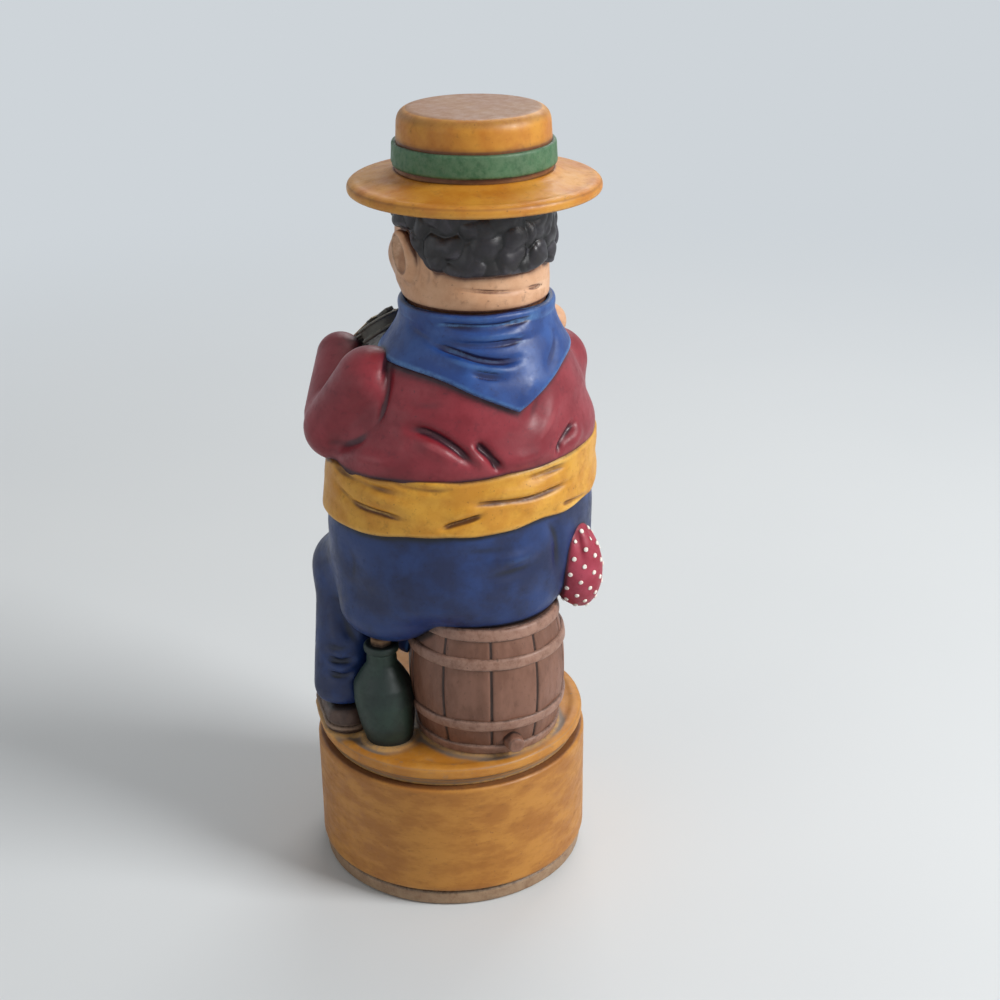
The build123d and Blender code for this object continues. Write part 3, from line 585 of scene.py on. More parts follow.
def trousers_base(p):
    d = cut_foot(trunk(p), p, seat_low, seat_blend)
    d = blend(d, plate(p, barrel_line, pad_radius, pad_low, pad_high, pad_edge), seat_blend)
    d = blend(d, egg(p, haunch, haunch_radii), seat_blend)
    d = blend(d, egg(p, drape, drape_radii), cloth_blend)
    for hip, knee, ankle in ((left_hip, left_knee, left_ankle), (right_hip, right_knee, right_ankle)):
        d = blend(d, limb(p, hip, knee, thigh_radius, knee_radius), cloth_blend)
        d = blend(d, limb(p, knee, ankle, calf_radius, ankle_radius), cloth_blend)
    return cut_top(cut_foot(d, p, hem, hem_edge), p, waist, edge_soft)


def trousers(p):
    return folded(trousers_base(p), p, trouser_folds) + lumps(p, "trousers")


depth_share = 0.85


def folds_on(form, table):
    """Fold strokes placed by pixels of the photograph: (pixels, width, depth, taper)."""
    points = seen([pixel for row in table for pixel in row[0]], form)
    folds = []
    for pixels, width, depth, taper in table:
        folds.append((rounded_path(points[:len(pixels)]), width, depth * depth_share, taper))
        points = points[len(pixels):]
    return folds


trouser_fold_pixels = [
    ([(334, 588), (343, 615), (351, 634), (364, 652)], 4.0, 2.4, 0.4),
    ([(322, 655), (340, 662), (360, 657)], 1.5, 1.8, 0.4),
    ([(324, 670), (342, 676), (358, 671)], 1.5, 1.6, 0.4),
    ([(322, 643), (340, 649), (356, 644)], 2.0, 1.4, 0.4),
    ([(324, 662), (340, 669), (358, 664)], 2.0, -1.0, 0.4),
    ([(470, 580), (510, 573), (550, 555)], 3.4, 1.6, 0.5),
    ([(480, 566), (518, 559), (552, 543)], 3.6, -1.6, 0.5),
    ([(440, 549), (485, 552), (530, 544)], 4.0, 1.2, 0.5),
    ([(420, 540), (470, 543), (520, 535)], 3.4, -1.0, 0.5),
    ([(342, 530), (352, 562), (348, 596)], 6.0, 1.2, 0.5),
    ([(542, 515), (558, 538), (556, 580)], 3.0, 1.8, 0.4),
]
trouser_folds = folds_on(trousers_base, trouser_fold_pixels)


# Shirt: trunk, sleeves and the fullness over the sash
blouse_z = seat + 68.0
blouse_puff = 2.4
blouse_reach = 8.0
sash_top_z = seat + 63.5
shirt_low = sash_top_z - 14.0
shirt_high = collar - 2.0
shoulder_radius = 13.0
left_elbow_radius = 12.3
right_elbow_radius = 12.4
forearm_radius = 11.0
cuff_radius = 9.2
elbow_blend = 2.0
left_arm_blend = 3.5
right_arm_blend = 4.5


def sleeve(p, shoulder, elbow, fore, wrist, elbow_radius):
    upper = limb(p, shoulder, elbow, shoulder_radius, elbow_radius)
    return blend(upper, limb(p, fore, wrist, forearm_radius, cuff_radius), elbow_blend)


def shirt_base(p):
    d = trunk(p) - blouse_puff * bell(p[:, 2] - blouse_z, blouse_reach)
    left = sleeve(p, left_shoulder, left_elbow, left_fore, left_wrist, left_elbow_radius)
    right = sleeve(p, right_shoulder, right_elbow, right_fore, right_wrist, right_elbow_radius)
    d = blend(blend(d, left, left_arm_blend), right, right_arm_blend)
    return cut_top(cut_foot(d, p, shirt_low, edge_soft), p, shirt_high, edge_soft)


def shirt(p):
    return folded(shirt_base(p), p, shirt_folds) + lumps(p, "shirt")


shirt_fold_pixels = [
    ([(387, 352), (388, 370), (386, 395), (379, 418), (368, 434)], 1.7, 1.7, 0.3),
    ([(376, 362), (375, 382), (368, 404)], 4.5, -1.0, 0.45),
    ([(398, 430), (416, 430), (434, 436), (454, 448), (470, 461), (482, 472)], 2.0, 3.0, 0.3),
    ([(410, 440), (430, 446), (448, 456), (462, 468)], 3.6, -1.8, 0.4),
    ([(472, 440), (482, 449), (493, 460), (503, 474)], 1.8, 3.2, 0.25),
    ([(464, 446), (478, 458), (490, 470)], 2.8, -1.4, 0.4),
    ([(577, 418), (569, 432), (562, 444), (556, 460)], 1.7, 2.6, 0.3),
    ([(583, 424), (576, 438), (568, 450)], 2.6, -1.2, 0.45),
    ([(560, 385), (552, 412), (540, 436), (522, 456)], 4.4, -1.8, 0.45),
    ([(542, 385), (536, 408), (526, 430)], 4.0, 1.2, 0.45),
    ([(395, 400), (425, 406), (462, 402)], 5.0, 0.9, 0.5),
    ([(318, 440), (335, 444), (354, 441), (376, 428)], 3.0, 2.0, 0.35),
    ([(345, 450), (370, 459), (402, 466)], 3.0, -1.6, 0.4),
    ([(500, 466), (530, 458), (556, 447)], 3.2, -1.2, 0.4),
]
shirt_folds = folds_on(shirt_base, shirt_fold_pixels)

# Sash
sash_low_z = seat + 41.5
sash_tilt = radians(2.25)
sash_grow = 2.6
sash_edge = 2.2
sash_lining = 1.5
sash_stretch = np.array([1.0, 1.0, 2.2])
lining_edge = 0.5


def sash_base(p):
    z = p[:, 2] + (p[:, 0] - seat_x) * sin(sash_tilt) + lumps(p, "sash_edge")
    d = both(trunk(p, sash_grow), sash_low_z - z, sash_edge)
    return both(d, z - sash_top_z, sash_edge)


def sash(p):
    d = folded(sash_base(p), p, sash_folds) + lumps(p * sash_stretch, "sash")
    return both(d, -trunk(p, -sash_lining), lining_edge)


sash_fold_pixels = [
    ([(332, 478), (342, 492), (353, 503), (380, 514), (415, 522)], 1.3, 1.8, 0.3),
    ([(333, 462), (352, 478), (376, 489), (410, 497)], 1.5, 1.7, 0.35),
    ([(436, 532), (452, 526), (468, 521), (488, 514)], 1.1, 2.2, 0.3),
    ([(440, 521), (460, 515), (484, 509)], 2.2, -1.0, 0.4),
    ([(460, 505), (498, 503), (528, 499), (556, 489), (576, 476)], 1.2, 2.0, 0.3),
    ([(470, 497), (500, 495), (535, 489), (560, 478)], 2.6, -1.3, 0.4),
    ([(388, 482), (412, 489), (435, 492), (462, 489)], 1.5, 1.5, 0.4),
    ([(400, 478), (430, 482), (462, 480)], 2.6, -1.0, 0.4),
    ([(515, 481), (545, 474), (574, 460)], 1.4, 1.6, 0.4),
    ([(558, 505), (574, 501), (592, 492)], 1.1, 2.0, 0.3),
    ([(505, 515), (540, 508), (570, 494)], 2.4, -1.1, 0.4),
    ([(345, 463), (380, 476), (405, 482)], 2.6, -1.1, 0.4),
    ([(355, 492), (390, 504), (430, 508)], 2.8, -1.2, 0.4),
]
sash_folds = folds_on(sash_base, sash_fold_pixels)

# Kerchief: a wrap round the neck with its point down the back
kerchief_grow = 2.8
kerchief_edge = 1.8
kerchief_lining = 2.0
wrap_low = collar - 16.5
wrap_blend = 3.0
tip_x = neck_x + 4.2
tip_z = collar - 30.5
tip_top = collar - 12.0
tip_half = 36.0
roll_radius = 26.2
roll_z = collar + 0.8
roll_half = 2.2
roll_blend = 2.6
roll_top = collar + 3.0
neck_hole = 25.9
hole_low = collar - 0.2
hole_high = collar + 12


def kerchief_base(p):
    slope = (tip_top - tip_z) / tip_half
    point = (tip_z + np.abs(p[:, 0] - tip_x) * slope - p[:, 2]) / sqrt(1 + slope * slope)
    point = np.maximum(point, neck_y - p[:, 1])
    region = blend(wrap_low - p[:, 2], point, wrap_blend)
    d = both(trunk(p, kerchief_grow), region, kerchief_edge)
    roll = np.hypot(off_line(p, neck_line) - roll_radius, p[:, 2] - roll_z) - roll_half
    d = cut_top(blend(d, roll, roll_blend), p, roll_top, edge_soft)
    return carve(d, rod(p, neck_line, neck_hole, hole_low, hole_high), edge_sharp)


def kerchief(p):
    d = folded(kerchief_base(p), p, kerchief_folds) + lumps(p, "kerchief")
    return both(d, -trunk(p, -kerchief_lining), lining_edge)


kerchief_fold_pixels = [
    ([(420, 340), (438, 346), (458, 353), (480, 360), (505, 362), (530, 355)], 1.5, 2.4, 0.3),
    ([(426, 350), (450, 360), (480, 369), (508, 370), (532, 363)], 2.4, -1.7, 0.4),
    ([(464, 370), (485, 376), (510, 378)], 1.6, 1.6, 0.4),
    ([(425, 319), (465, 327), (505, 325), (545, 311)], 1.4, 1.7, 0.35),
    ([(420, 314), (455, 320), (495, 319), (545, 303)], 1.8, -1.0, 0.35),
    ([(435, 334), (475, 339), (512, 335), (550, 320)], 2.4, -1.4, 0.4),
    ([(425, 337), (460, 345), (500, 344), (545, 331)], 1.5, 1.3, 0.35),
    ([(404, 322), (420, 334), (438, 344)], 1.8, 1.1, 0.4),
    ([(552, 318), (556, 342), (544, 375)], 2.2, 1.3, 0.4),
    ([(536, 375), (528, 392), (520, 408)], 2.6, -0.8, 0.4),
]
kerchief_folds = folds_on(kerchief_base, kerchief_fold_pixels)

# Head: height over the collar, forward set, half width and half depth
neck_radius = 25.4
lip = 3.4
head_rows = [
    (-2.0, 0.0, neck_radius, neck_radius),
    (lip, 0.0, neck_radius, neck_radius),
    (4.2, 0.4, 26.7, 26.9),
    (9.0, 2.6, 27.6, 29.2),
    (17.5, 3.2, 27.5, 29.8),
    (27.5, 2.9, 27.1, 29.5),
    (35.9, 2.2, 26.3, 28.6),
    (44.0, 1.8, 25.6, 28.0),
]
head_table = smooth_table(head_rows, spread=10)


def skull(p, grow=0.0):
    forward, wide, deep = look_up(p[:, 2] - collar, head_table)
    return oval(p[:, 0] - neck_x, p[:, 1] - neck_y + forward, wide + grow, deep + grow)


def face_point(side, height, out=0.0):
    """A point of the face, that far to a side and above the collar."""
    forward, wide, deep = look_up(height, head_table)
    y = neck_y - forward - deep * sqrt(1 - (side / wide) ** 2) - out
    return np.array([neck_x + side, y, collar + height])


ear_height = collar + 20.9
ear_side = 28.0
ear_y = neck_y - 0.6
ear_radii = (3.6, 6.2, 9.8)
ear_dish = (2.8, -0.8, 0.6)
dish_radii = (2.8, 4.0, 7.0)
ear_lean = 12
ear_flare = 6
ear_yaw = 16
eye_height = 31.0
eye_side = 10.6
nose_height = 19.5
mouth_height = 13.2
brow_height = 35.0
chin_height = 7.6

# Soft forms of the face: side, height over the collar, reach outwards, radii and blend
cheek = (13.5, 15.0, -6.0, (9.0, 8.4, 8.0), 6.0)
socket = (eye_side, eye_height, 2.6, (6.6, 4.4, 3.9), 3.0)
nostril = (3.2, nose_height, 2.0, (2.3, 2.8, 2.1), 1.6)
muzzle = (0, mouth_height, -3.0, (10.0, 5.0, 7.0), 5.0)
chin = (0, chin_height, -2.0, (7.0, 5.2, 4.2), 4.0)
bridge_top = (0, 32.0, -1.4)
bridge_tip = (0, 21.5, 4.4)
bridge_radii = (2.4, 3.5)
bridge_blend = 3.0


def feature(d, p, form, side=1, join=blend):
    beside, height, out, radii, softness = form
    return join(d, egg(p, face_point(side * beside, height, out), radii), softness)


def head_base(p):
    d = skull(p)
    for side in (-1, 1):
        centre = np.array([neck_x + side * ear_side, ear_y, ear_height])
        dish = centre + np.array([side * ear_dish[0], ear_dish[1], ear_dish[2]])
        ear = egg(p, centre, ear_radii, (ear_lean, side * ear_flare, side * ear_yaw))
        ear = carve(ear, egg(p, dish, dish_radii, (ear_lean, 0, 0)), edge_soft)
        d = feature(blend(d, ear, edge_soft), p, cheek, side)
        d = feature(feature(d, p, socket, side, carve), p, nostril, side)
    d = blend(d, limb(p, face_point(*bridge_top), face_point(*bridge_tip), *bridge_radii), bridge_blend)
    return feature(feature(d, p, muzzle), p, chin)


def face_line(sides, height, bow, out=0.3):
    """A curve over the face, raised in its middle by a bow."""
    reach = max(abs(s) for s in sides)
    return np.array([face_point(s, height + bow * (1 - (s / reach) ** 2), out) for s in sides])


mouth_sides = np.linspace(-7.4, 7.4, 9)
mouth_line = face_line(mouth_sides, mouth_height + 0.8, -1.0, 1.5)
upper_lip = face_line(mouth_sides * 0.85, mouth_height + 1.4, -0.2, 2.2)
lower_lip = face_line(mouth_sides * 0.70, mouth_height - 0.6, -1.3, 2.0)
lid_span = np.linspace(-6.0, 6.0, 7)
lid_height = eye_height + 3.0
pouch_height = eye_height - 3.6
lid_bow = 13.0
pouch_bow = 22.0
lid_out = -0.2
crease_out = 0.4
crease_places = ((5.6, 20.0), (8.4, 17.4), (10.6, 13.4))

# Lines of the face: path, width, depth and taper
face_folds = [(upper_lip, 1.2, -0.8, 0.4), (lower_lip, 1.4, -1.0, 0.4), (mouth_line, 0.6, 0.9, 0.2)]
for side in (-1, 1):
    lid = []
    pouch = []
    for s in side * eye_side + lid_span:
        bow = (abs(s) - eye_side) ** 2
        lid.append(face_point(s, lid_height - bow / lid_bow, lid_out))
        pouch.append(face_point(s, pouch_height + bow / pouch_bow, lid_out))
    crease = rounded_path([face_point(side * s, h, crease_out) for s, h in crease_places])
    face_folds += [(np.array(lid), 0.9, -0.9, 0.3), (np.array(pouch), 0.9, -0.6, 0.3)]
    face_folds.append((crease, 1.0, 0.7, 0.4))
hat_sink = 0.6


def head_form(p):
    d = folded(folded(head_base(p), p, nape_folds), p, face_folds)
    slot = np.maximum(neck_radius - off_line(p, neck_line), p[:, 2] - collar - lip)
    d = cut_foot(carve(d, slot, edge_crisp), p, collar, edge_crisp)
    return cut_top(d, p, hat_seat + hat_sink, edge_crisp)


nape_fold_pixels = [
    ([(442, 284), (458, 288.5), (478, 291.5), (505, 292), (530, 288), (551, 278)], 0.7, 0.9, 0.25),
    ([(425, 286), (450, 297), (480, 302), (515, 300), (545, 291)], 2.6, -0.8, 0.4),
    ([(424, 262), (428, 276), (424, 290)], 1.6, 0.9, 0.4),
]
nape_folds = folds_on(head_base, nape_fold_pixels)

# Hair
hairline = collar + 17.6
hairline_rise = 12.5
rise_bearing = 58
rise_span = 34
temple_low = ear_height + 3.0
temple_span = 12.0
temple_y = neck_y + 4.5
temple_reach = 19.5
hair_grow = 2.6
hair_edge = 2.4
temple_edge = 2.0
hair_lining = 1.0
hair_top = hat_seat + 0.4
curl_size = 7.2
curl_depth = 3.0
curl_reach = 0.85
curl_level = 0.34
curl_seed = 25
bend_seeds = (22, 23, 24)
bend_size = 6.0
bend_reach = 2.2
ear_gap_radii = (5.0, 7.6, 10.8)
ear_gap_side = 29.0
ear_gap_edge = 1.2


def curls(p):
    """How far a point lies from the middle of its clump of hair."""
    bent = p + np.stack([noise(p, bend_size, s) for s in bend_seeds], 1) * bend_reach
    slant = np.stack([bent[:, 0] + bent[:, 2] * 0.5, bent[:, 1], bent[:, 2] * 0.95 - bent[:, 0] * 0.4], 1)
    return cells(slant, curl_size, curl_seed)


def hair_form(p):
    bearing = np.degrees(np.abs(np.arctan2(p[:, 0] - neck_x, p[:, 1] - neck_y)))
    lift = ease(np.clip((bearing - rise_bearing) / rise_span, 0, 1))
    edge = hairline + hairline_rise * lift + lumps(p, "hairline")
    d = skull(p, hair_grow) + curl_depth * (np.minimum(curls(p), curl_reach) ** 2 - curl_level)
    d = both(d, edge - p[:, 2], hair_edge)
    front = temple_y - temple_reach * ease(np.clip((p[:, 2] - temple_low) / temple_span, 0, 1))
    d = both(d, front - p[:, 1], temple_edge)
    for side in (-1, 1):
        centre = (neck_x + side * ear_gap_side, ear_y, ear_height)
        d = carve(d, egg(p, centre, ear_gap_radii, (ear_lean, 0, side * ear_yaw)), ear_gap_edge)
    d = cut_top(d, p, hair_top, edge_crisp)
    return both(d, -skull(p, -hair_lining), edge_crisp)


# Hat
brim_radius = (high("hat_brim", 0) - low("hat_brim", 0)) / 2
brim_top = high("hat_brim", 2)
brim_edge = 3.4
crown_radius = 28.2
crown_top_radius = 27.0
band_low = low("hat_band", 2)
band_high = high("hat_band", 2)
hat_wall = 3.4
crown_round = 5.2
crown_room_round = 2.0
crown_sink = 0.4
brim_low_round = 1.4
brim_top_round = 1.6
swell_height = 0.9
swell_reach = 2.2
rim_height = 0.4
rim_reach = 1.6
rim_inset = 2.4
band_out = 1.5
band_in = 0.6
band_round = 1.1
seam_x = neck_x + crown_radius * 0.96
seam_height = 0.3
seam_half = 0.4
seam_reach = 0.5


def crown_side(p, grow=0.0):
    share = np.clip((p[:, 2] - brim_top) / (crown_top - brim_top), 0, 1)
    return off_line(p, neck_line) - crown_radius - (crown_top_radius - crown_radius) * share - grow


def crown_form(p):
    d = cut_top(crown_side(p) + lumps(p, "crown"), p, crown_top - 0.2, crown_round)
    d = cut_foot(d, p, brim_top - crown_sink, edge_crisp)
    return carve(d, cut_top(crown_side(p, -hat_wall), p, crown_top - hat_wall, crown_room_round), edge_crisp)


def brim_form(p):
    r = off_line(p, neck_line)
    slope = np.clip((brim_radius - r) / (brim_radius - crown_radius), 0, 1)
    top = hat_seat + brim_edge + (brim_top - hat_seat - brim_edge) * slope + lumps(p, "brim")
    top = top + swell_height * bell(r - crown_radius, swell_reach)
    top = top + rim_height * bell(r - brim_radius + rim_inset, rim_reach)
    return both(cut_foot(r - brim_radius, p, hat_seat, brim_low_round), p[:, 2] - top, brim_top_round)


def band_form(p):
    ring = np.maximum(crown_side(p, band_out), -crown_side(p, -band_in))
    d = both(ring, slab(p, band_low, band_high), band_round) + lumps(p, "band")
    seam = seam_height * bell(np.abs(p[:, 0] - seam_x) - seam_half, seam_reach)
    return d + np.where(p[:, 1] < neck_y, seam, 0)


# Barrel
barrel_belly = 30.6
barrel_end_share = 0.865
barrel_height = seat - ground
barrel_wall = 4.5
stave_count = 10
stave_bearing = 64.0
stave_step = 360 / stave_count
stave_width = 0.55
stave_depth = 0.75
stave_crown = 0.25
stave_edge = 0.6
belly_reach = 1.1
grain_stretch = np.array([1.0, 1.0, 0.22])
hoop_out = 1.15
hoop_in = 1.0
hoop_round = 1.3
bung_over = 9
reservoir_radius = barrel_belly * barrel_end_share - barrel_wall


def barrel_side(p, grow=0.0):
    offset = np.clip(2 * (p[:, 2] - ground) / barrel_height - 1, -belly_reach, belly_reach)
    return off_line(p, barrel_line) - barrel_belly * (1 - (1 - barrel_end_share) * offset ** 2) - grow


def stave_turn(p):
    """The angle from the nearest gap between two staves."""
    bearing = np.degrees(np.arctan2(p[:, 1] - barrel_y, p[:, 0] - barrel_x)) - stave_bearing
    return np.radians((bearing + stave_step / 2) % stave_step - stave_step / 2)


def barrel_form(p):
    turn = stave_turn(p)
    d = barrel_side(p) + stave_depth * bell(turn * barrel_belly, stave_width)
    d = d - stave_crown * np.cos(turn * stave_count) + lumps(p * grain_stretch, "grain") + lumps(p, "staves")
    d = both(d, slab(p, ground, seat), stave_edge)
    return carve(d, rod(p, barrel_line, reservoir_radius, ground + barrel_wall, seat + bung_over), edge_crisp)


def hoop_form(bottom, top):
    def form(p):
        ring = np.maximum(barrel_side(p, hoop_out), -barrel_side(p, -hoop_in))
        return both(ring, slab(p, bottom, top), hoop_round) + lumps(p, "hoop")
    return form


peg_bearing = radians(80.0)
peg_out = np.array([cos(peg_bearing), sin(peg_bearing), 0.0])
peg_centre = np.array([middle("barrel_peg", axis) for axis in range(3)])
peg_radius = 3.5
peg_taper_share = 0.10
peg_half = 3.7
peg_round = 1.4


def peg_form(p):
    q = p - peg_centre
    run = q @ peg_out
    side = norm(q - run[:, None] * peg_out) - peg_radius + peg_taper_share * run
    return both(side, np.abs(run) - peg_half, peg_round) + lumps(p, "peg")


# Bottle: height over the ground, radius and how far it leans back
bottle_rows = [
    (-2.0, 9.0, 4.6),
    (0.5, 9.0, 4.6),
    (7.3, 10.6, 3.2),
    (16.0, 11.8, 1.2),
    (22.6, 11.4, 0.0),
    (27.4, 8.7, 0.0),
    (31.4, 5.9, 0.0),
    (36.5, 5.6, 0.0),
    (40.0, 5.6, 0.0),
]
bottle_table = smooth_table(bottle_rows, spread=12)
bottle_round = 0.8
bottle_gap = 0.1
lip_low = low("bottle_lip", 2)
lip_high = high("bottle_lip", 2)
lip_radius = 6.8
lip_sink = 0.2
lip_round = 1.2
cork_radius = 4.2
cork_sink = 1.0
cork_round = 0.7
cork_high = high("bottle_cork", 2)


def bottle_form(p):
    radius, lean = look_up(p[:, 2] - ground, bottle_table)
    d = np.hypot(p[:, 0] - bottle_x, p[:, 1] - bottle_y - lean) - radius
    d = both(d, slab(p, ground, lip_low), bottle_round) + lumps(p, "bottle")
    return carve(d, barrel_side(p, bottle_gap), edge_sharp)


def lip_form(p):
    return plate(p, bottle_line, lip_radius, lip_low - lip_sink, lip_high, lip_round) + lumps(p, "lip")


def cork_form(p):
    return plate(p, bottle_line, cork_radius, lip_high - cork_sink, cork_high, cork_round) + lumps(p, "cork")


# Shoes and soles
shoe_length = 20.0
shoe_middle = ground + 4.1
shoe_low = low("left_shoe", 2)
shoe_high = high("left_shoe", 2)
shoe_sink = 0.2
shoe_radii = (8.2, 8.8)
shoe_round = 2.6
shoe_low_round = 0.5
toe_drop = 1.8
cap_share = 0.72
cap_height = 0.5
cap_reach = 0.7
lace_shares = (0.12, 0.26, 0.40)
lace_height = 0.5
lace_reach = 0.6
lace_half = 4.5
sole_radii = (9.1, 9.7)
sole_round = 0.8
left_heel = np.array([44.4, -3.5, shoe_middle])
right_heel = np.array([-30.5, -15.0, shoe_middle])


def toe_of(heel, degrees):
    return heel + shoe_length * np.array([sin(radians(degrees)), -cos(radians(degrees)), 0.0])


left_toe = toe_of(left_heel, -16.0)
right_toe = toe_of(right_heel, 6.0)


def shoe_form(heel, toe):
    run = toe - heel

    def form(p):
        share = np.clip((p - heel) @ run / (run @ run), -0.5, 1.5)
        top = shoe_high - toe_drop * np.clip(share, 0, 1) ** 2
        d = both(limb(p, heel, toe, *shoe_radii), p[:, 2] - top, shoe_round)
        d = cut_foot(d, p, shoe_low - shoe_sink, shoe_low_round)
        d = d + cap_height * bell(np.abs(share - cap_share) * shoe_length, cap_reach)
        beside = norm((p - heel - share[:, None] * run)[:, :2])
        for lace in lace_shares:
            d = d - lace_height * bell(np.abs(share - lace) * shoe_length, lace_reach) * (beside < lace_half)
        return d
    return form


def sole_form(heel, toe):
    def form(p):
        d = cut_top(limb(p, heel, toe, *sole_radii), p, shoe_low, sole_round)
        return cut_foot(d, p, ground, edge_crisp) + lumps(p, "sole")
    return form


# Hands
palm_radius = 7.2
root_reach = 3.4
finger_length = 5.0
curl_length = 5.4
finger_radii = (2.3, 2.1, 1.8)
finger_blend = 0.7
thumb_root = 3.0
thumb_length = 7.0
thumb_reach = 2.0
thumb_radii = (2.9, 2.3)
thumb_blend = 0.8


def hand(palm, knuckle_run, reach, spread, curl, thumb):
    """A fist's form from the palm, the row of knuckles and the way the fingers reach."""
    arrows = [np.array(v, float) for v in (palm, knuckle_run, reach, curl, thumb)]
    palm, knuckle_run, reach, curl, thumb = arrows

    def form(p):
        d = ball(p, palm, palm_radius)
        for i in range(4):
            root = palm + knuckle_run * (i - 1.5) * spread + reach * root_reach
            bend = root + reach * finger_length
            near = limb(p, root, bend, finger_radii[0], finger_radii[1])
            end = limb(p, bend, bend + curl * curl_length, finger_radii[1], finger_radii[2])
            d = blend(d, blend(near, end, edge_crisp), finger_blend)
        root = palm + thumb * thumb_root
        tip = root + thumb * thumb_length + reach * thumb_reach
        d = blend(d, limb(p, root, tip, *thumb_radii), thumb_blend)
        return d + lumps(p, "hand")
    return form


# Fiddle: along its length, across it and up from its back
fiddle_middle = np.array([10.7, -30.0, collar - 23.3])
fiddle_length = 36.0
fiddle_thickness = 6.0
lower_bout = 11.5
upper_bout = 9.4
waist_cut = 5.0
fiddle_neck_length = 13.0
fiddle_up = np.array([0.231, -0.564, 0.793])
fiddle_up = fiddle_up / norm(fiddle_up)
fiddle_run = np.array([0.118, -0.793, -0.598])
fiddle_run = fiddle_run - fiddle_up * (fiddle_run @ fiddle_up)
fiddle_run = fiddle_run / norm(fiddle_run)
fiddle_side = np.cross(fiddle_up, fiddle_run)
fiddle_axes = np.stack([fiddle_run, fiddle_side, fiddle_up], 1)
half_fiddle = fiddle_length / 2
bridge_at = -4.0
bridge_height = 2.6
fiddle_round = 0.9
arch_height = 0.9
arch_drop = 0.5
arch_reach = 7.0
box_blend = 1.0
bout_blend = 2.0
waist_round = 0.8
rib_inset = 0.7
rib_proud = 0.8
rib_half = 1.4
groove_half = 1.6
sound_hole_side = 5.2
sound_hole_lean = 0.10
sound_hole_half = 0.45
sound_hole_reach = 4.6
sound_hole_depth = 1.2
fine_edge = 0.2


def on_fiddle(p):
    return (p - fiddle_middle) @ fiddle_axes


def fiddle_place(along_it, across_it, up):
    return fiddle_middle + fiddle_axes @ np.array([along_it, across_it, up])


def fiddle_outline(q):
    lower = np.hypot(q[:, 0] + half_fiddle - lower_bout, q[:, 1]) - lower_bout
    upper = np.hypot(q[:, 0] - half_fiddle + upper_bout, q[:, 1]) - upper_bout
    box = np.maximum(np.abs(q[:, 0]) - half_fiddle / 2, np.abs(q[:, 1]) - upper_bout)
    d = blend(blend(lower, upper, bout_blend), box, box_blend)
    cut = np.hypot(q[:, 0], np.abs(q[:, 1]) - upper_bout - waist_cut / 2) - waist_cut
    return carve(d, cut, waist_round)


def fiddle_form(p):
    q = on_fiddle(p)
    outline = fiddle_outline(q)
    arch = arch_height * np.clip(-outline / arch_reach, 0, 1) - arch_drop
    level = np.abs(q[:, 2] - fiddle_thickness / 2)
    d = both(outline, np.maximum(-q[:, 2], q[:, 2] - fiddle_thickness - arch), fiddle_round)
    rib = both(outline + rib_proud, level - rib_half, fine_edge)
    d = np.minimum(np.maximum(d, np.where(level < groove_half, outline + rib_inset, -far)), rib)
    for side in (-1, 1):
        bow = np.abs(q[:, 1] - side * (sound_hole_side + sound_hole_lean * side * q[:, 0])) - sound_hole_half
        hole = np.maximum(bow, np.abs(q[:, 0]) - sound_hole_reach)
        hole = np.maximum(hole, fiddle_thickness - sound_hole_depth - q[:, 2])
        d = carve(d, hole, fine_edge)
    return d


# Fiddle's neck, with its board, scroll and four pegs
handle_start = half_fiddle - 6.0
handle_end = half_fiddle + fiddle_neck_length - 1.0
handle_height = fiddle_thickness - 2.6
handle_radii = (2.5, 2.2)
board_half = 2.3
board_start = 2.0
board_height = fiddle_thickness + 0.6
board_thickness = 0.8
board_blend = 0.5
scroll_at = handle_end + 0.6
scroll_radius = 2.2
scroll_half = 1.6
scroll_width_share = 0.7
scroll_blend = 0.6
first_peg = handle_end - 5.6
peg_step = 1.7
peg_reach = 5.6
peg_radii = (0.7, 1.1)


def neck_form(p):
    q = on_fiddle(p)
    d = limb(q, (handle_start, 0, handle_height), (handle_end, 0, handle_height), *handle_radii)
    board = both(np.abs(q[:, 1]) - board_half, np.abs(q[:, 2] - board_height) - board_thickness, edge_sharp)
    board = both(board, np.maximum(board_start - q[:, 0], q[:, 0] - handle_end + 1.0), edge_sharp)
    d = blend(d, board, board_blend)
    curl = np.hypot(q[:, 0] - scroll_at, q[:, 2] - handle_height) - scroll_radius
    d = blend(d, np.hypot(curl, q[:, 1] * scroll_width_share) - scroll_half, scroll_blend)
    for i, side in enumerate((-1, 1, -1, 1)):
        at = first_peg + i * peg_step
        d = np.minimum(d, limb(q, (at, 0, handle_height), (at, side * peg_reach, handle_height), *peg_radii))
    return d


# Fiddle's bridge, tailpiece and strings
bridge_foot = fiddle_thickness - 0.4
bridge_crown = 0.03
bridge_half_depth = 0.7
bridge_half_width = 4.4
bridge_arch = (2.2, 1.4)
tail_at = -12.0
tail_half_length = 3.4
tail_half_width = 1.6
tail_taper = 0.10
tail_height = fiddle_thickness + 1.0
tail_half_height = 0.8
string_count = 4
string_radius = 0.3
string_gap = 1.0
string_gather_share = 0.8
string_start = -9.4
string_end = half_fiddle + fiddle_neck_length - 6.0
string_height = fiddle_thickness + 1.6


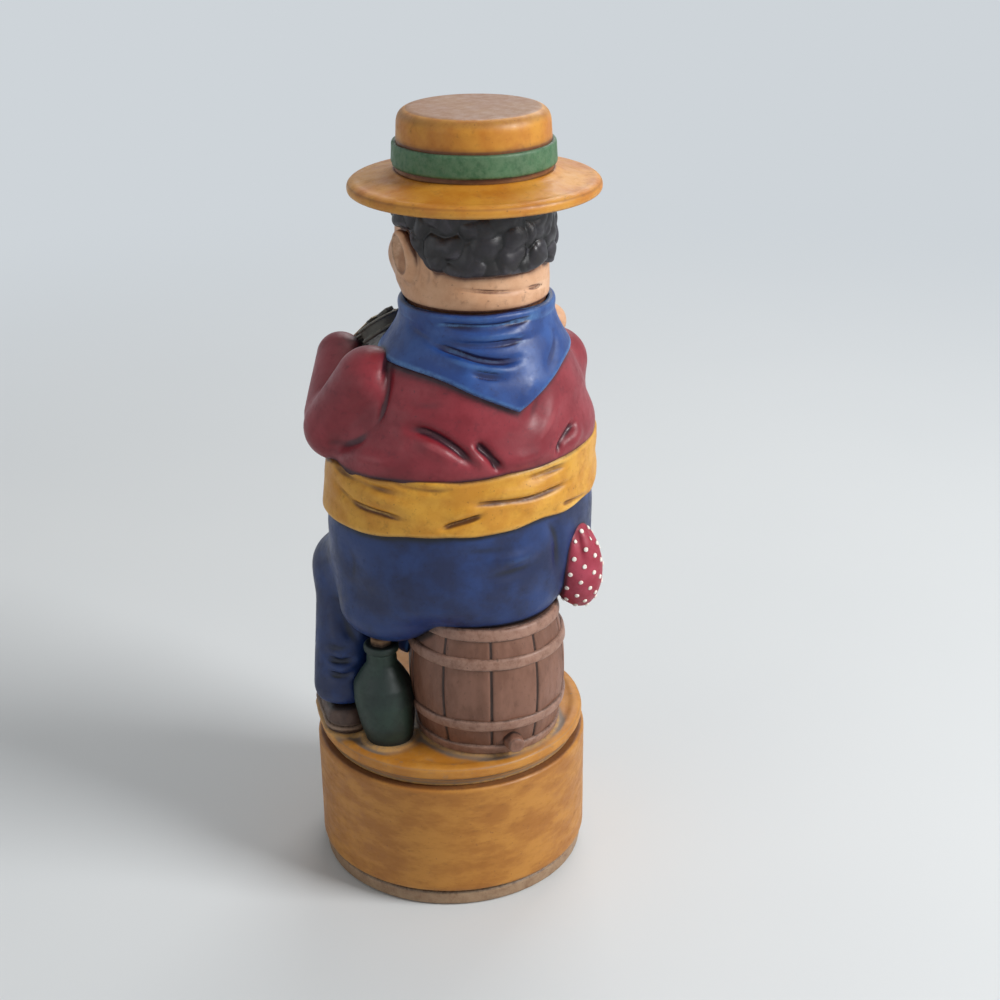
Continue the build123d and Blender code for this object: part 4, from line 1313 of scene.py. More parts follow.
def bridge_form(p):
    q = on_fiddle(p)
    top = fiddle_thickness + bridge_height - bridge_crown * q[:, 1] ** 2
    d = both(np.abs(q[:, 0] - bridge_at) - bridge_half_depth, np.abs(q[:, 1]) - bridge_half_width, edge_sharp)
    d = both(d, np.maximum(bridge_foot - q[:, 2], q[:, 2] - top), edge_sharp)
    arch = np.hypot(q[:, 1] / bridge_arch[0], (q[:, 2] - bridge_foot) / bridge_arch[1]) - 1
    wide = tail_half_width + tail_taper * np.abs(q[:, 0] + half_fiddle)
    tail = both(np.abs(q[:, 1]) - wide, np.abs(q[:, 0] - tail_at) - tail_half_length, edge_crisp)
    tail = both(tail, np.abs(q[:, 2] - tail_height) - tail_half_height, edge_sharp)
    return np.minimum(carve(d, arch, edge_sharp), tail)


def string_form(p):
    q = on_fiddle(p)
    d = np.full(len(p), far)
    for i in range(string_count):
        spread = (i - 1.5) * string_gap
        gathered = spread * string_gather_share
        crest = (bridge_at, spread, fiddle_thickness + bridge_height - bridge_crown * spread ** 2)
        for end in (string_start, string_end):
            d = np.minimum(d, limb(q, (end, gathered, string_height), crest, string_radius, string_radius))
    return d


# Bow, from the right hand over the bridge
bow_touch = fiddle_place(bridge_at, 0, fiddle_thickness + bridge_height + 1.2)
bow_start = np.array(right_palm, float)
bow_run = (bow_touch - bow_start) / norm(bow_touch - bow_start)
bow_rise = fiddle_up - bow_run * (fiddle_up @ bow_run)
bow_rise = bow_rise / norm(bow_rise)
bow_length = 66.0
stick_radius = 1.05
stick_taper = 0.25
stick_height = 1.6
stick_places = ((0.0, 2.2), (22, stick_height), (46, 1.4), (bow_length, stick_height))
hair_height = -0.6
post_low = -0.8
post_blend = 0.6
bow_posts = ((bow_length - 1, 1.1, 0.9), (7, 1.9, 1.6))
ribbon_half_width = 0.9
ribbon_half_height = 0.35
ribbon_end = 2.0


def bow_point(reach, rise):
    return bow_start + bow_run * reach + bow_rise * rise


bow_hair = [bow_point(1.0, hair_height), bow_point(bow_length, hair_height)]
bow_wood = rounded_path([bow_point(*place) for place in stick_places])


def bow_form(p):
    away, share = along(p, bow_wood)
    d = away - stick_radius + stick_taper * share
    for at, top_radius, low_radius in bow_posts:
        post = limb(p, bow_point(at, stick_height), bow_point(at, post_low), top_radius, low_radius)
        d = blend(d, post, post_blend)
    return d


def bow_hair_form(p):
    q = p - bow_hair[0]
    run = q @ bow_run
    rise = q @ bow_rise
    side = q @ np.cross(bow_rise, bow_run)
    flat = np.maximum(np.abs(side) - ribbon_half_width, np.abs(rise) - ribbon_half_height)
    return np.maximum(flat, np.maximum(-run, run - bow_length + ribbon_end))


# Knots, tail and buttons
sash_knot_centre = np.array([16.0, -34.6, seat + 48.5])
sash_knot_radii = (6.8, 4.8, 5.6)
sash_loop = np.array([4.5, -1.0, 2.0])
sash_loop_radii = (4.2, 3.2, 5.2)
sash_knot_lining = 0.5
tail_top = np.array([16.0, -39.0, seat + 41.5])
tail_foot = np.array([20.0, -43.0, seat + 21.5])
tail_half_start = 4.2
tail_spread = 3.0
tail_half_thick = 3.4
tail_slant_share = 0.2
tail_under = 1.5
tail_over = 4.0
tail_round = 1.6
pleat_turn = 1.9
pleat_height = 0.45
pleat_start_share = 0.2
tail_sink = 0.6
crease_taper = 0.3


def sash_knot_form(p):
    d = egg(p, sash_knot_centre, sash_knot_radii, (0, 12, 0))
    d = blend(d, egg(p, sash_knot_centre + sash_loop, sash_loop_radii, (0, 40, 0)), edge_soft)
    for s in (-2.6, 0.4, 3.0):
        places = ((s - 1, -2, -6), (s, -5.0, 0), (s + 1, -2, 6))
        path = rounded_path([sash_knot_centre + np.array(place) for place in places])
        d = stroke(d, p, path, 0.9, 0.8, crease_taper)
    return both(d, -trunk(p, -sash_knot_lining), edge_crisp)


def sash_tail_form(p):
    run = tail_foot - tail_top
    share = np.clip((p - tail_top) @ run / (run @ run), 0, 1)
    q = p - tail_top - share[:, None] * run
    wide = tail_half_start + tail_spread * share
    d = oval(q[:, 0], q[:, 1] + q[:, 2] * tail_slant_share, wide, tail_half_thick)
    d = both(d, slab(p, tail_foot[2] - tail_under, tail_top[2] + tail_over), tail_round)
    d = d + np.sin(q[:, 0] * pleat_turn) * pleat_height * np.clip(share + pleat_start_share, 0, 1)
    return both(d, -trousers_base(p) - tail_sink, tail_sink)


knot_depth = 5.0
knot_centre = np.array([neck_x, low("kerchief_knot", 1) + knot_depth, middle("kerchief_knot", 2)])
knot_radii = (5.4, 4.8, 5.0)
knot_end_radii = (2.6, 2.2, 5.6)
knot_end = (3.0, -1.2, -4.6)
knot_end_turn = 24


def kerchief_knot_form(p):
    d = egg(p, knot_centre, knot_radii)
    for side in (-1, 1):
        centre = knot_centre + np.array([side * knot_end[0], knot_end[1], knot_end[2]])
        d = blend(d, egg(p, centre, knot_end_radii, (0, -side * knot_end_turn, 0)), edge_soft)
    for s in (-2.0, 1.4):
        places = ((-5, -1, s + 1), (0, -5.0, s), (5, -1, s + 1))
        path = rounded_path([knot_centre + np.array(place) for place in places])
        d = stroke(d, p, path, 0.8, 0.7, crease_taper)
    return d


button_radius = 2.2
button_half = 1.7
button_out = 1.4
button_step = 9.5
button_round = 0.6
dish_radius = 1.4
dish_depth = 1.2
thread_hole = 0.3
thread_side = 0.6
button_heights = [low("shirt_buttons", 2) + button_radius + button_step * i for i in range(3)]


def buttons_form(p):
    d = np.full(len(p), far)
    for z in button_heights:
        lean, wide, deep = look_up((z - seat) / trunk_height, trunk_table)
        x = seat_x + (neck_x - seat_x) * lean
        y = seat_y + (neck_y - seat_y) * lean - hip_half_depth * deep - button_out
        away = np.hypot(p[:, 0] - x, p[:, 2] - z)
        disc = both(away - button_radius, np.abs(p[:, 1] - y) - button_half, button_round)
        disc = carve(disc, both(away - dish_radius, p[:, 1] - y + dish_depth, edge_sharp), edge_sharp)
        for side in (-thread_side, thread_side):
            disc = carve(disc, np.hypot(p[:, 0] - x - side, p[:, 2] - z) - thread_hole, 0.1)
        d = np.minimum(d, disc)
    return d


# Handkerchief
pocket = np.array([-35.6, 37.2, seat + 14.0])
pocket_radii = np.array([10.4, 10.4, 18.6])
pocket_turn = (0, 8, 0)
dot_count = 78
dot_radius = 0.95
dot_height = 0.45
crumple_bearings = (20, 75, 130, 200, 300)
crumple_levels = (0.95, 0.6, 0.2)
crumple_turn = 9


def pocket_point(bearing, height_share):
    """A point of the bundle at a bearing in radians and a share of its height."""
    ring = sqrt(1 - height_share * height_share)
    place = np.array([ring * cos(bearing), ring * sin(bearing), height_share]) * pocket_radii
    return pocket + turn_matrix(pocket_turn) @ place


pocket_folds = []
for bearing in crumple_bearings:
    path = rounded_path([pocket_point(radians(bearing + s * crumple_turn), s) for s in crumple_levels])
    pocket_folds.append((path, 1.5, 1.0, 0.4))
golden = pi * (3 - sqrt(5))
dot_points = [pocket_point(golden * i, 1 - 2 * (i + 0.5) / dot_count) for i in range(dot_count)]


def handkerchief_form(p):
    return folded(egg(p, pocket, pocket_radii, pocket_turn), p, pocket_folds) + lumps(p, "handkerchief")


def dots_form(p):
    near = np.full(len(p), far)
    for point in dot_points:
        near = np.minimum(near, norm(p - point))
    return np.maximum(near - dot_radius, handkerchief_form(p) - dot_height)


# Plinth
plinth_radius = 54.0
drum_low = low("plinth_drum", 2)
drum_high = high("plinth_drum", 2)
foot_high = high("foot_ring", 2)
drum_foot = foot_high + 0.9
drum_round = 1.3
drum_inner = 45.4
drum_roof = 4.6
spigot_radius = 38.3
disc_low = drum_high + 3.4
disc_radius = 53.1
disc_round = 2.2
foot_outer = 52.7
foot_inner = 46.2
foot_low = 0.1
foot_round = 1.6
foot_rebate = 2.4
skirt_radius = foot_outer - 2.6
skirt_top = drum_high - 4
rebate_low = drum_low - 0.1
overrun = 9


def drum_form(p):
    d = plate(p, centre_line, plinth_radius, drum_foot, drum_high, drum_round) + lumps(p, "drum")
    d = np.minimum(d, rod(p, centre_line, skirt_radius, drum_low, skirt_top))
    room = rod(p, centre_line, drum_inner, drum_low - overrun, drum_high - drum_roof)
    way = rod(p, centre_line, spigot_radius, drum_low, drum_high + overrun)
    return carve(d, np.minimum(room, way), edge_crisp)


def foot_form(p):
    d = plate(p, centre_line, foot_outer, foot_low, foot_high, foot_round) + lumps(p, "foot")
    rebate = rod(p, centre_line, foot_outer - foot_rebate, rebate_low, overrun)
    return carve(d, np.minimum(rod(p, centre_line, foot_inner, -overrun, overrun), rebate), edge_sharp)


# Ground disc: a dip at its rim, a raised edge and mounds round what stands on it
ground_sink = 0.2
dip = 0.5
dip_start = 38
dip_span = 10
lip_height = 0.7
lip_inset = 3.0
lip_reach = 2.0
lip_edge = 1.2
mound_out = 1.2
mound_low = 0.4
mound_half = 1.0
mound_round = 1.6
mound_blend = 2.6
groove_radius = 50.5
disc_spigot = 38.0
disc_bore = 34.0
sole_left = sole_form(left_heel, left_toe)
sole_right = sole_form(right_heel, right_toe)


def ground_form(p):
    r = off_line(p, centre_line)
    top = ground - ground_sink - dip * np.clip((r - dip_start) / dip_span, 0, 1) + lumps(p, "ground")
    top = top + lip_height * bell(r - disc_radius + lip_inset, lip_reach)
    d = both(plate(p, centre_line, disc_radius, disc_low, ground + 2.0, disc_round), p[:, 2] - top, lip_edge)
    for feet in (barrel_side(p), sole_left(p), sole_right(p), bottle_form(p)):
        mound = both(feet - mound_out, np.abs(p[:, 2] - ground + mound_low) - mound_half, mound_round)
        d = blend(d, mound, mound_blend)
    neck = rod(p, centre_line, groove_radius, drum_high, disc_low + 1)
    spigot = rod(p, centre_line, disc_spigot, drum_high - drum_roof, disc_low + 1)
    d = np.minimum(d, np.minimum(neck, spigot))
    return carve(d, rod(p, centre_line, disc_bore, 0, disc_low), edge_sharp)


# The hollow inside the figure, and the bore that the stopper fits
bore_radius = 12.46
figure_wall = 4.5
room_low = seat + 5.8
room_low_round = 3.0
room_high_round = 6.0
reservoir_top = collar - 22.0
way_high = seat + 12


def hollow(p):
    room = cut_foot(trunk(p, -figure_wall), p, room_low, room_low_round)
    room = cut_top(room, p, reservoir_top, room_high_round)
    mouth = rod(p, neck_line, bore_radius, reservoir_top - overrun, collar + overrun)
    foot = rod(p, barrel_line, reservoir_radius, seat - overrun, way_high)
    return np.minimum(room, np.minimum(mouth, foot))


def shirt_form(p):
    return carve(shirt(p), hollow(p), edge_crisp)


def trousers_form(p):
    d = carve(trousers(p), hollow(p), edge_crisp)
    d = carve(d, np.minimum(bottle_form(p), np.minimum(lip_form(p), cork_form(p))), fine_edge)
    return np.maximum(d, -np.maximum(barrel_side(p), np.abs(p[:, 2] - ground) - barrel_height))


# Materials
def srgb(r, g, b):
    """A linear colour from values of 0 to 255."""
    def linear(v):
        v = v / 255
        return v / 12.92 if v < 0.04045 else ((v + 0.055) / 1.055) ** 2.4
    return (linear(r), linear(g), linear(b), 1.0)


def add_node(tree, kind, inputs=None, **settings):
    node = tree.nodes.new("ShaderNode" + kind)
    for key, value in settings.items():
        setattr(node, key, value)
    for key, value in (inputs or {}).items():
        if isinstance(value, bpy.types.NodeSocket):
            tree.links.new(value, node.inputs[key])
        else:
            node.inputs[key].default_value = value
    return node


def texture(tree, size, detail=3.0, rough=0.55, stretch=(1, 1, 1)):
    """Noise whose features are about that many millimetres."""
    place = add_node(tree, "TexCoord").outputs["Object"]
    place = add_node(tree, "Mapping", {"Vector": place, "Scale": stretch}).outputs[0]
    inputs = {"Vector": place, "Scale": 1 / (size * MM), "Detail": detail, "Roughness": rough}
    return add_node(tree, "TexNoise", inputs).outputs["Fac"]


def span(tree, value, lowest, highest, first=0.0, last=1.0):
    inputs = {"Value": value, "From Min": lowest, "From Max": highest, "To Min": first, "To Max": last}
    return add_node(tree, "MapRange", inputs, interpolation_type="SMOOTHSTEP").outputs[0]


def sums(tree, a, b, operation="MULTIPLY", clamp=True):
    return add_node(tree, "Math", {0: a, 1: b}, operation=operation, use_clamp=clamp).outputs[0]


def mix(tree, share, a, b):
    return add_node(tree, "Mix", {0: share, 6: a, 7: b}, data_type="RGBA").outputs[2]


def start(name):
    material = bpy.data.materials.new(name)
    material.use_nodes = True
    return material, material.node_tree, material.node_tree.nodes["Principled BSDF"]


def paint(
    name, base, tint, wash_and_shade, wear, patch=14.0, rough=(0.42, 0.62), streak=(1, 1, 1), wash_and_shade_strength=1.0, marks=(),
):
    """Hand-brushed colour with a dark wash and painted shade in the recesses, painted shade in the creases, a
    painted highlight on the ridges and wear on the raised edges.
    """
    material, tree, shader = start(name)
    cloud = texture(tree, patch, 4.0, 0.6, streak)
    colour = mix(tree, span(tree, cloud, 0.36, 0.66), srgb(*base), srgb(*tint))
    brushed = texture(tree, patch / 3.5, 5.0, 0.7, streak)
    film = span(tree, brushed, 0.52, 0.80, 0.0, 0.45 * wash_and_shade_strength)
    colour = mix(tree, film, colour, srgb(*wash_and_shade))
    def attribute(key):
        return add_node(tree, "Attribute", attribute_name=key).outputs["Fac"]

    for mark, shade, amount in marks:
        colour = mix(tree, span(tree, attribute(mark), 0.25, 0.75, 0.0, amount), colour, srgb(*shade))
    # Recesses darkened towards the wash colour: the dark wash together with painted shade
    recess = span(tree, attribute("wash_and_shade"), 0.06, 0.50, 0.0, wash_and_shade_strength)
    recess = sums(tree, recess, span(tree, brushed, 0.1, 0.6, 0.65, 1.0))
    colour = mix(tree, recess, colour, srgb(*wash_and_shade))
    # Fold creases and hair partings darkened with the wash colour as painted shade; between the staves the
    # same mark is a dark joint
    colour = mix(tree, span(tree, attribute("crease"), 0.10, 0.95, 0.0, 0.88), colour, srgb(*wash_and_shade))
    # Fold ridges and hair crests lightened with the wear colour: a painted highlight
    ridge = sums(tree, span(tree, attribute("ridge"), 0.3, 1.0, 0.0, 0.5), brushed)
    colour = mix(tree, ridge, colour, srgb(*wear))
    fine = texture(tree, 2.6, 5.0, 0.7)
    rubbed = span(tree, attribute("wear"), 0.10, 0.55, 0.0, 0.6)
    rubbed = sums(tree, rubbed, span(tree, fine, 0.30, 0.62, 0.25, 1.0))
    colour = mix(tree, rubbed, colour, srgb(*wear))
    speck = span(tree, texture(tree, 1.3, 2.0, 0.5), 0.68, 0.76, 0.0, 0.5 * wash_and_shade_strength)
    colour = mix(tree, speck, colour, srgb(*wash_and_shade))
    tree.links.new(colour, shader.inputs["Base Color"])
    tree.links.new(span(tree, brushed, 0.3, 0.7, *rough), shader.inputs["Roughness"])
    height = sums(tree, fine, sums(tree, brushed, 1.6), "ADD", False)
    bump = add_node(tree, "Bump", {"Strength": 0.16, "Distance": 0.25 * MM, "Height": height})
    tree.links.new(bump.outputs[0], shader.inputs["Normal"])
    return material


def metal(name, base, tint, rough=(0.22, 0.42), stretch=(1, 1, 8)):
    """Turned or brushed metal, a little stained."""
    material, tree, shader = start(name)
    stain = texture(tree, 6.0, 4.0, 0.6)
    colour = mix(tree, span(tree, stain, 0.35, 0.70), srgb(*base), srgb(*tint))
    tree.links.new(colour, shader.inputs["Base Color"])
    shader.inputs["Metallic"].default_value = 1.0
    grain = texture(tree, 0.8, 3.0, 0.5, stretch)
    tree.links.new(span(tree, grain, 0.3, 0.7, *rough), shader.inputs["Roughness"])
    bump = add_node(tree, "Bump", {"Strength": 0.12, "Distance": 0.05 * MM, "Height": grain})
    tree.links.new(bump.outputs[0], shader.inputs["Normal"])
    return material


# Paints: base, tint, wash and shade colour, wear colour that also serves as the painted highlight, size of
# the patches, roughness, streaks and strength of the wash and painted shade
straw_colours = ((188, 116, 28), (206, 142, 46), (104, 58, 26), (232, 182, 92))
skin_colours = ((200, 150, 112), (214, 168, 132), (96, 58, 40), (236, 200, 168))
eye_colours = ((230, 220, 206), (236, 228, 216), (150, 112, 92), (240, 234, 224))
ochre_colours = ((164, 104, 34), (188, 128, 50), (110, 68, 40), (206, 162, 96))
earth_colours = ((178, 114, 34), (194, 132, 50), (126, 108, 92), (220, 164, 78))
wood_colours = ((112, 74, 56), (132, 92, 74), (44, 28, 22), (172, 136, 118))
crown_marks = [("crown_top", (116, 74, 38), 0.8)]
skin_marks = [("blush", (196, 112, 92), 0.45), ("lips", (172, 84, 76), 0.8)]
eye_marks = [("iris", (84, 60, 44), 1.0), ("pupil", (20, 16, 16), 1.0)]
paints = {
    "straw": (*straw_colours, 15.0, (0.36, 0.55)),
    "crown_paint": (*straw_colours, 13.0, (0.36, 0.55), (1, 1, 1), 1.0, crown_marks),
    "ochre": (*ochre_colours, 17.0, (0.38, 0.56), (1, 1, 2.4), 0.9),
    "earth": (*earth_colours, 12.0, (0.42, 0.6), (1, 1, 1), 1.3),
    "foot_paint": ((118, 84, 56), (140, 108, 80), (52, 32, 22), (186, 160, 130), 9.0, (0.45, 0.65)),
    "band_paint": ((22, 78, 40), (38, 98, 56), (20, 40, 28), (104, 132, 100), 11.0),
    "hair_paint": ((26, 21, 21), (38, 34, 40), (8, 6, 6), (92, 88, 98), 9.0, (0.30, 0.5)),
    "skin_paint": (*skin_colours, 10.0, (0.42, 0.6), (1, 1, 1), 1.0, skin_marks),
    "scarf_paint": ((28, 60, 122), (42, 80, 146), (34, 28, 62), (92, 142, 196), 13.0, (0.36, 0.52)),
    "crimson": ((124, 26, 38), (142, 44, 54), (52, 16, 30), (190, 104, 108), 14.0, (0.36, 0.52)),
    "sash_paint": ((196, 132, 30), (214, 156, 50), (96, 56, 22), (236, 194, 104), 11.0, (0.38, 0.55)),
    "navy": ((15, 31, 72), (24, 52, 106), (7, 10, 22), (66, 106, 160), 18.0, (0.36, 0.52)),
    "wood_paint": (*wood_colours, 8.0, (0.42, 0.6), (1, 1, 0.4)),
    "green": ((18, 34, 28), (30, 50, 40), (10, 16, 14), (60, 84, 70), 10.0, (0.42, 0.56)),
    "shoe_paint": ((70, 50, 42), (86, 62, 50), (34, 24, 20), (130, 104, 88), 7.0),
    "sole_paint": ((112, 82, 64), (128, 98, 78), (60, 42, 34), (164, 138, 116), 6.0),
    "red_spot": ((150, 34, 56), (170, 60, 80), (84, 22, 38), (214, 150, 150), 9.0),
    "white_paint": ((232, 222, 208), (240, 232, 222), (170, 130, 112), (246, 240, 232), 5.0),
    # The fiddle's dark grey stands in for a painted grey-blue sheen over dark brown
    "fiddle_paint": ((66, 64, 56), (92, 92, 84), (34, 32, 30), (138, 138, 128), 8.0),
    "dark_paint": ((48, 46, 44), (66, 64, 60), (26, 24, 24), (110, 108, 100), 6.0),
    "bow_paint": ((104, 68, 44), (124, 86, 58), (50, 34, 26), (160, 126, 96), 7.0),
    "bone": ((214, 196, 156), (226, 210, 176), (128, 98, 66), (240, 230, 206), 4.0),
    "cork_paint": ((112, 82, 56), (138, 104, 74), (56, 38, 26), (160, 128, 96), 3.0, (0.7, 0.9)),
    "bisque": ((214, 202, 182), (224, 214, 198), (150, 132, 110), (234, 226, 212), 9.0, (0.6, 0.8)),
    "black": ((34, 34, 34), (46, 45, 44), (18, 18, 18), (80, 78, 74), 6.0, (0.5, 0.7)),
    "eye_paint": (*eye_colours, 4.0, (0.25, 0.4), (1, 1, 1), 1.0, eye_marks),
}
metals = {
    "steel": ((168, 168, 166), (142, 140, 136)),
    "key_steel": ((190, 184, 168), (160, 150, 130), (0.15, 0.3)),
    "blued": ((108, 116, 128), (84, 90, 104)),
    "brass": ((206, 168, 96), (178, 134, 72)),
    "iron": ((82, 80, 80), (58, 56, 56), (0.45, 0.7), (1, 1, 1)),
}
looks = {name: paint(name, *row) for name, row in paints.items()}
looks.update({name: metal(name, *row) for name, row in metals.items()})
# Carried-over nodes of the stopper and the movement
node_looks = {
    "bisque": ["stopper_shank"],
    "cork_paint": ["stopper_cork"],
    "black": ["base_plate"],
    "steel": [
        "base_screws", "bedplate", "cylinder_bearings", "comb_screws", "governor_bracket", "stop_lever",
    ],
    "brass": ["bed_posts", "spring_case", "pinned_cylinder", "governor_fan"],
    "key_steel": ["winding_key"],
    "blued": ["mainspring", "comb"],
    "iron": ["comb_block"],
}
for look, nodes in node_looks.items():
    for node in nodes:
        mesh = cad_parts[node].data
        mesh.materials.clear()
        mesh.materials.append(looks[look])


# Pieces
def around(*forms):
    def form(p):
        return np.minimum.reduce([f(p) for f in forms])
    return form


def piece(name, form, nodes, slot, look, world=(), step=0.5, margin=3.0, body="decanter", marks=None):
    """A form meshed in the box of the nodes that it replaces. The world's forms darken its recesses with wash
    and painted shade.
    """
    lows = np.min([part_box(n)[0] for n in nodes], axis=0) / MM - margin
    highs = np.max([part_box(n)[1] for n in nodes], axis=0) / MM + margin
    made = clay(name, form, lows, highs, step, around(form, *world), marks)
    dress(made, body, nodes, slot, looks[look])


def extra(name, form, points, margin, step, slot, look, world=(), body="decanter", marks=None):
    """A form that replaces no node, meshed in the box of some points."""
    lows = np.min(points, axis=0) - margin
    highs = np.max(points, axis=0) + margin
    made = clay(name, form, lows, highs, step, around(form, *world), marks)
    dress(made, body, [], slot, looks[look])


stave_mark = 0.5


def stave_gaps(p, normals):
    return bell(stave_turn(p) * barrel_belly, stave_mark)


left_reach = fiddle_up * 0.9 - fiddle_side * 0.4
left_curl = fiddle_side * 0.9 + fiddle_up * 0.3
left_hand_form = hand(left_palm, fiddle_run, left_reach, 3.6, left_curl, (0.3, -0.6, -0.5))
right_reach = (0.75, -0.45, 0.35)
right_curl = (0.3, -0.2, -0.85)
right_hand_form = hand(right_palm, (0.25, 0.55, 0.80), right_reach, 3.4, right_curl, (0.6, -0.7, 0.2))
left_shoe_form = shoe_form(left_heel, left_toe)
right_shoe_form = shoe_form(right_heel, right_toe)
# Forms whose nearness darkens the ground with the wash and painted shade
ground_world = [barrel_form, bottle_form, left_shoe_form, right_shoe_form, drum_form]
flask_world = [barrel_form, ground_form, trousers_base]
sleeves = ["left_upper_arm", "left_forearm", "right_upper_arm", "right_forearm"]

# Plinth and barrel: name, form, nodes, slot, look, world and step
for row in (
    ("painted_drum", drum_form, ["plinth_drum"], "ochre_base", "ochre", [ground_form, foot_form], 0.8),
    ("painted_foot", foot_form, ["foot_ring"], "foot", "foot_paint", [drum_form], 0.6),
    ("painted_ground", ground_form, ["ground_disc"], "ground", "earth", ground_world, 0.6),
):
    piece(*row)
piece(
    "staves", barrel_form, ["barrel_staves"], "barrel_wood", "wood_paint", [trousers_base, ground_form], 0.45,
    marks={"crease": stave_gaps},
)
for name in ("foot", "low", "high", "top"):
    node = "barrel_hoop_" + name
    hoop = hoop_form(low(node, 2), high(node, 2))
    piece("hoop_" + name, hoop, [node], "barrel_hoops", "wood_paint", [barrel_form, trousers_base], 0.4)
for row in (
    ("peg", peg_form, ["barrel_peg"], "barrel_wood", "wood_paint", [barrel_form], 0.3),
    ("flask", bottle_form, ["bottle_body"], "bottle_green", "green", flask_world, 0.45),
    ("flask_lip", lip_form, ["bottle_lip"], "bottle_green", "green", [bottle_form, trousers_base], 0.3),
    ("flask_cork", cork_form, ["bottle_cork"], "cork", "cork_paint", [lip_form], 0.3),
):
    piece(*row)
for side, upper, sole in (("left", left_shoe_form, sole_left), ("right", right_shoe_form, sole_right)):
    shoe_world = [sole, trousers_base]
    piece(side + "_upper", upper, [side + "_shoe"], "shoe_brown", "shoe_paint", shoe_world, 0.4)
    piece(side + "_heel", sole, [side + "_sole"], "sole_brown", "sole_paint", [upper, ground_form], 0.4)

# Clothes, with the marks of their folds: painted shade in the creases and a painted highlight on the ridges
piece(
    "breeches", trousers_form, ["trousers", "left_leg", "right_leg"], "navy", "navy",
    [sash_base, barrel_side, handkerchief_form], 0.6, marks=fold_marks(trouser_folds, trousers_base),
)
piece(
    "blouse", shirt_form, ["shirt_body", *sleeves], "crimson", "crimson",
    [sash_base, kerchief_base, fiddle_form], 0.6, marks=fold_marks(shirt_folds, shirt_base),
)
piece(
    "waist_sash", sash, ["sash"], "sash_ochre", "sash_paint", [shirt_base, trousers_base],
    marks=fold_marks(sash_folds, sash_base),
)
piece("waist_knot", sash_knot_form, ["sash_knot"], "sash_ochre", "sash_paint", [sash_base], 0.35)
tail_world = [trousers_base, sash_base]
piece("waist_tail", sash_tail_form, ["sash_tail"], "sash_ochre", "sash_paint", tail_world, 0.35)
piece(
    "neckerchief", kerchief, ["kerchief"], "kerchief_blue", "scarf_paint", [shirt_base, skull],
    marks=fold_marks(kerchief_folds, kerchief_base),
)

# Small pieces: name, form, nodes, slot, look, world, step and margin
cloth_world = [trousers_base, barrel_side]
scarf_world = [kerchief_base]
fiddle_world = [neck_form, shirt_base]
for row in (
    (
        "scarf_knot", kerchief_knot_form, ["kerchief_knot"], "kerchief_blue", "scarf_paint", scarf_world,
        0.35, 4.5,
    ),
    ("buttons", buttons_form, ["shirt_buttons"], "buttons", "bone", [shirt_base], 0.25, 1.5),
    ("left_fist", left_hand_form, ["left_hand"], "skin", "skin_paint", [shirt_base, neck_form], 0.35, 6.0),
    ("right_fist", right_hand_form, ["right_hand"], "skin", "skin_paint", [shirt_base], 0.35, 6.0),
    ("fiddle_box", fiddle_form, ["fiddle_body"], "fiddle_brown", "fiddle_paint", fiddle_world, 0.35, 3.0),
    ("fiddle_handle", neck_form, ["fiddle_neck"], "fiddle_dark", "dark_paint", [fiddle_form], 0.3, 5.0),
    (
        "fiddle_fittings", bridge_form, ["fiddle_bridge"], "fiddle_dark", "dark_paint", [fiddle_form],
        0.25, 15.0,
    ),
    ("bow_wood", bow_form, ["bow_stick"], "bow_brown", "bow_paint", [], 0.3, 3.0),
    ("pocket_cloth", handkerchief_form, ["handkerchief"], "spotted_red", "red_spot", cloth_world, 0.4, 9.0),
):
    piece(*row)
extra("strings", string_form, [fiddle_middle], 34, 0.2, "buttons", "bone")
extra("bow_hair", bow_hair_form, bow_hair, 2, 0.25, "buttons", "bone")
extra("dots", dots_form, [pocket], 21, 0.3, "spotted_red", "white_paint")

# Head, lifted out with the stopper
blush_side = 14.0
blush_height = 18.0
blush_reach = 8.0
blush_full = 1.2
nose_blush = (0, 22.0, 4.0)
nose_blush_share = 1.4
lip_half = 1.1
lip_full = 1.5
parting_from = 0.52
parting_span = 0.25
wave_below = 0.30
wave_most = 0.7
topping_edge = 2.0


def blush(p, normals):
    near = [norm(p - face_point(side * blush_side, blush_height)) for side in (-1, 1)]
    near.append(norm(p - face_point(*nose_blush)) * nose_blush_share)
    return np.clip(blush_full - np.min(near, axis=0) / blush_reach, 0, 1)


def lips(p, normals):
    near = np.minimum(along(p, upper_lip)[0], along(p, lower_lip)[0])
    return np.clip(lip_full - near / lip_half, 0, 1)


# Gaps between the hair clumps, darkened as painted shade
def parting_shade(p, normals):
    return np.clip((curls(p) - parting_from) / parting_span, 0, 1)


# Crests of the hair clumps, lightened with the bluish wear colour as a painted sheen
def wave_sheen(p, normals):
    return np.clip((wave_below - curls(p)) / wave_below, 0, wave_most)


def topping(p, normals):
    inside = (crown_top_radius - topping_edge - off_line(p, neck_line)) / topping_edge
    return np.clip(inside, 0, 1) * (p[:, 2] > crown_top - topping_edge)


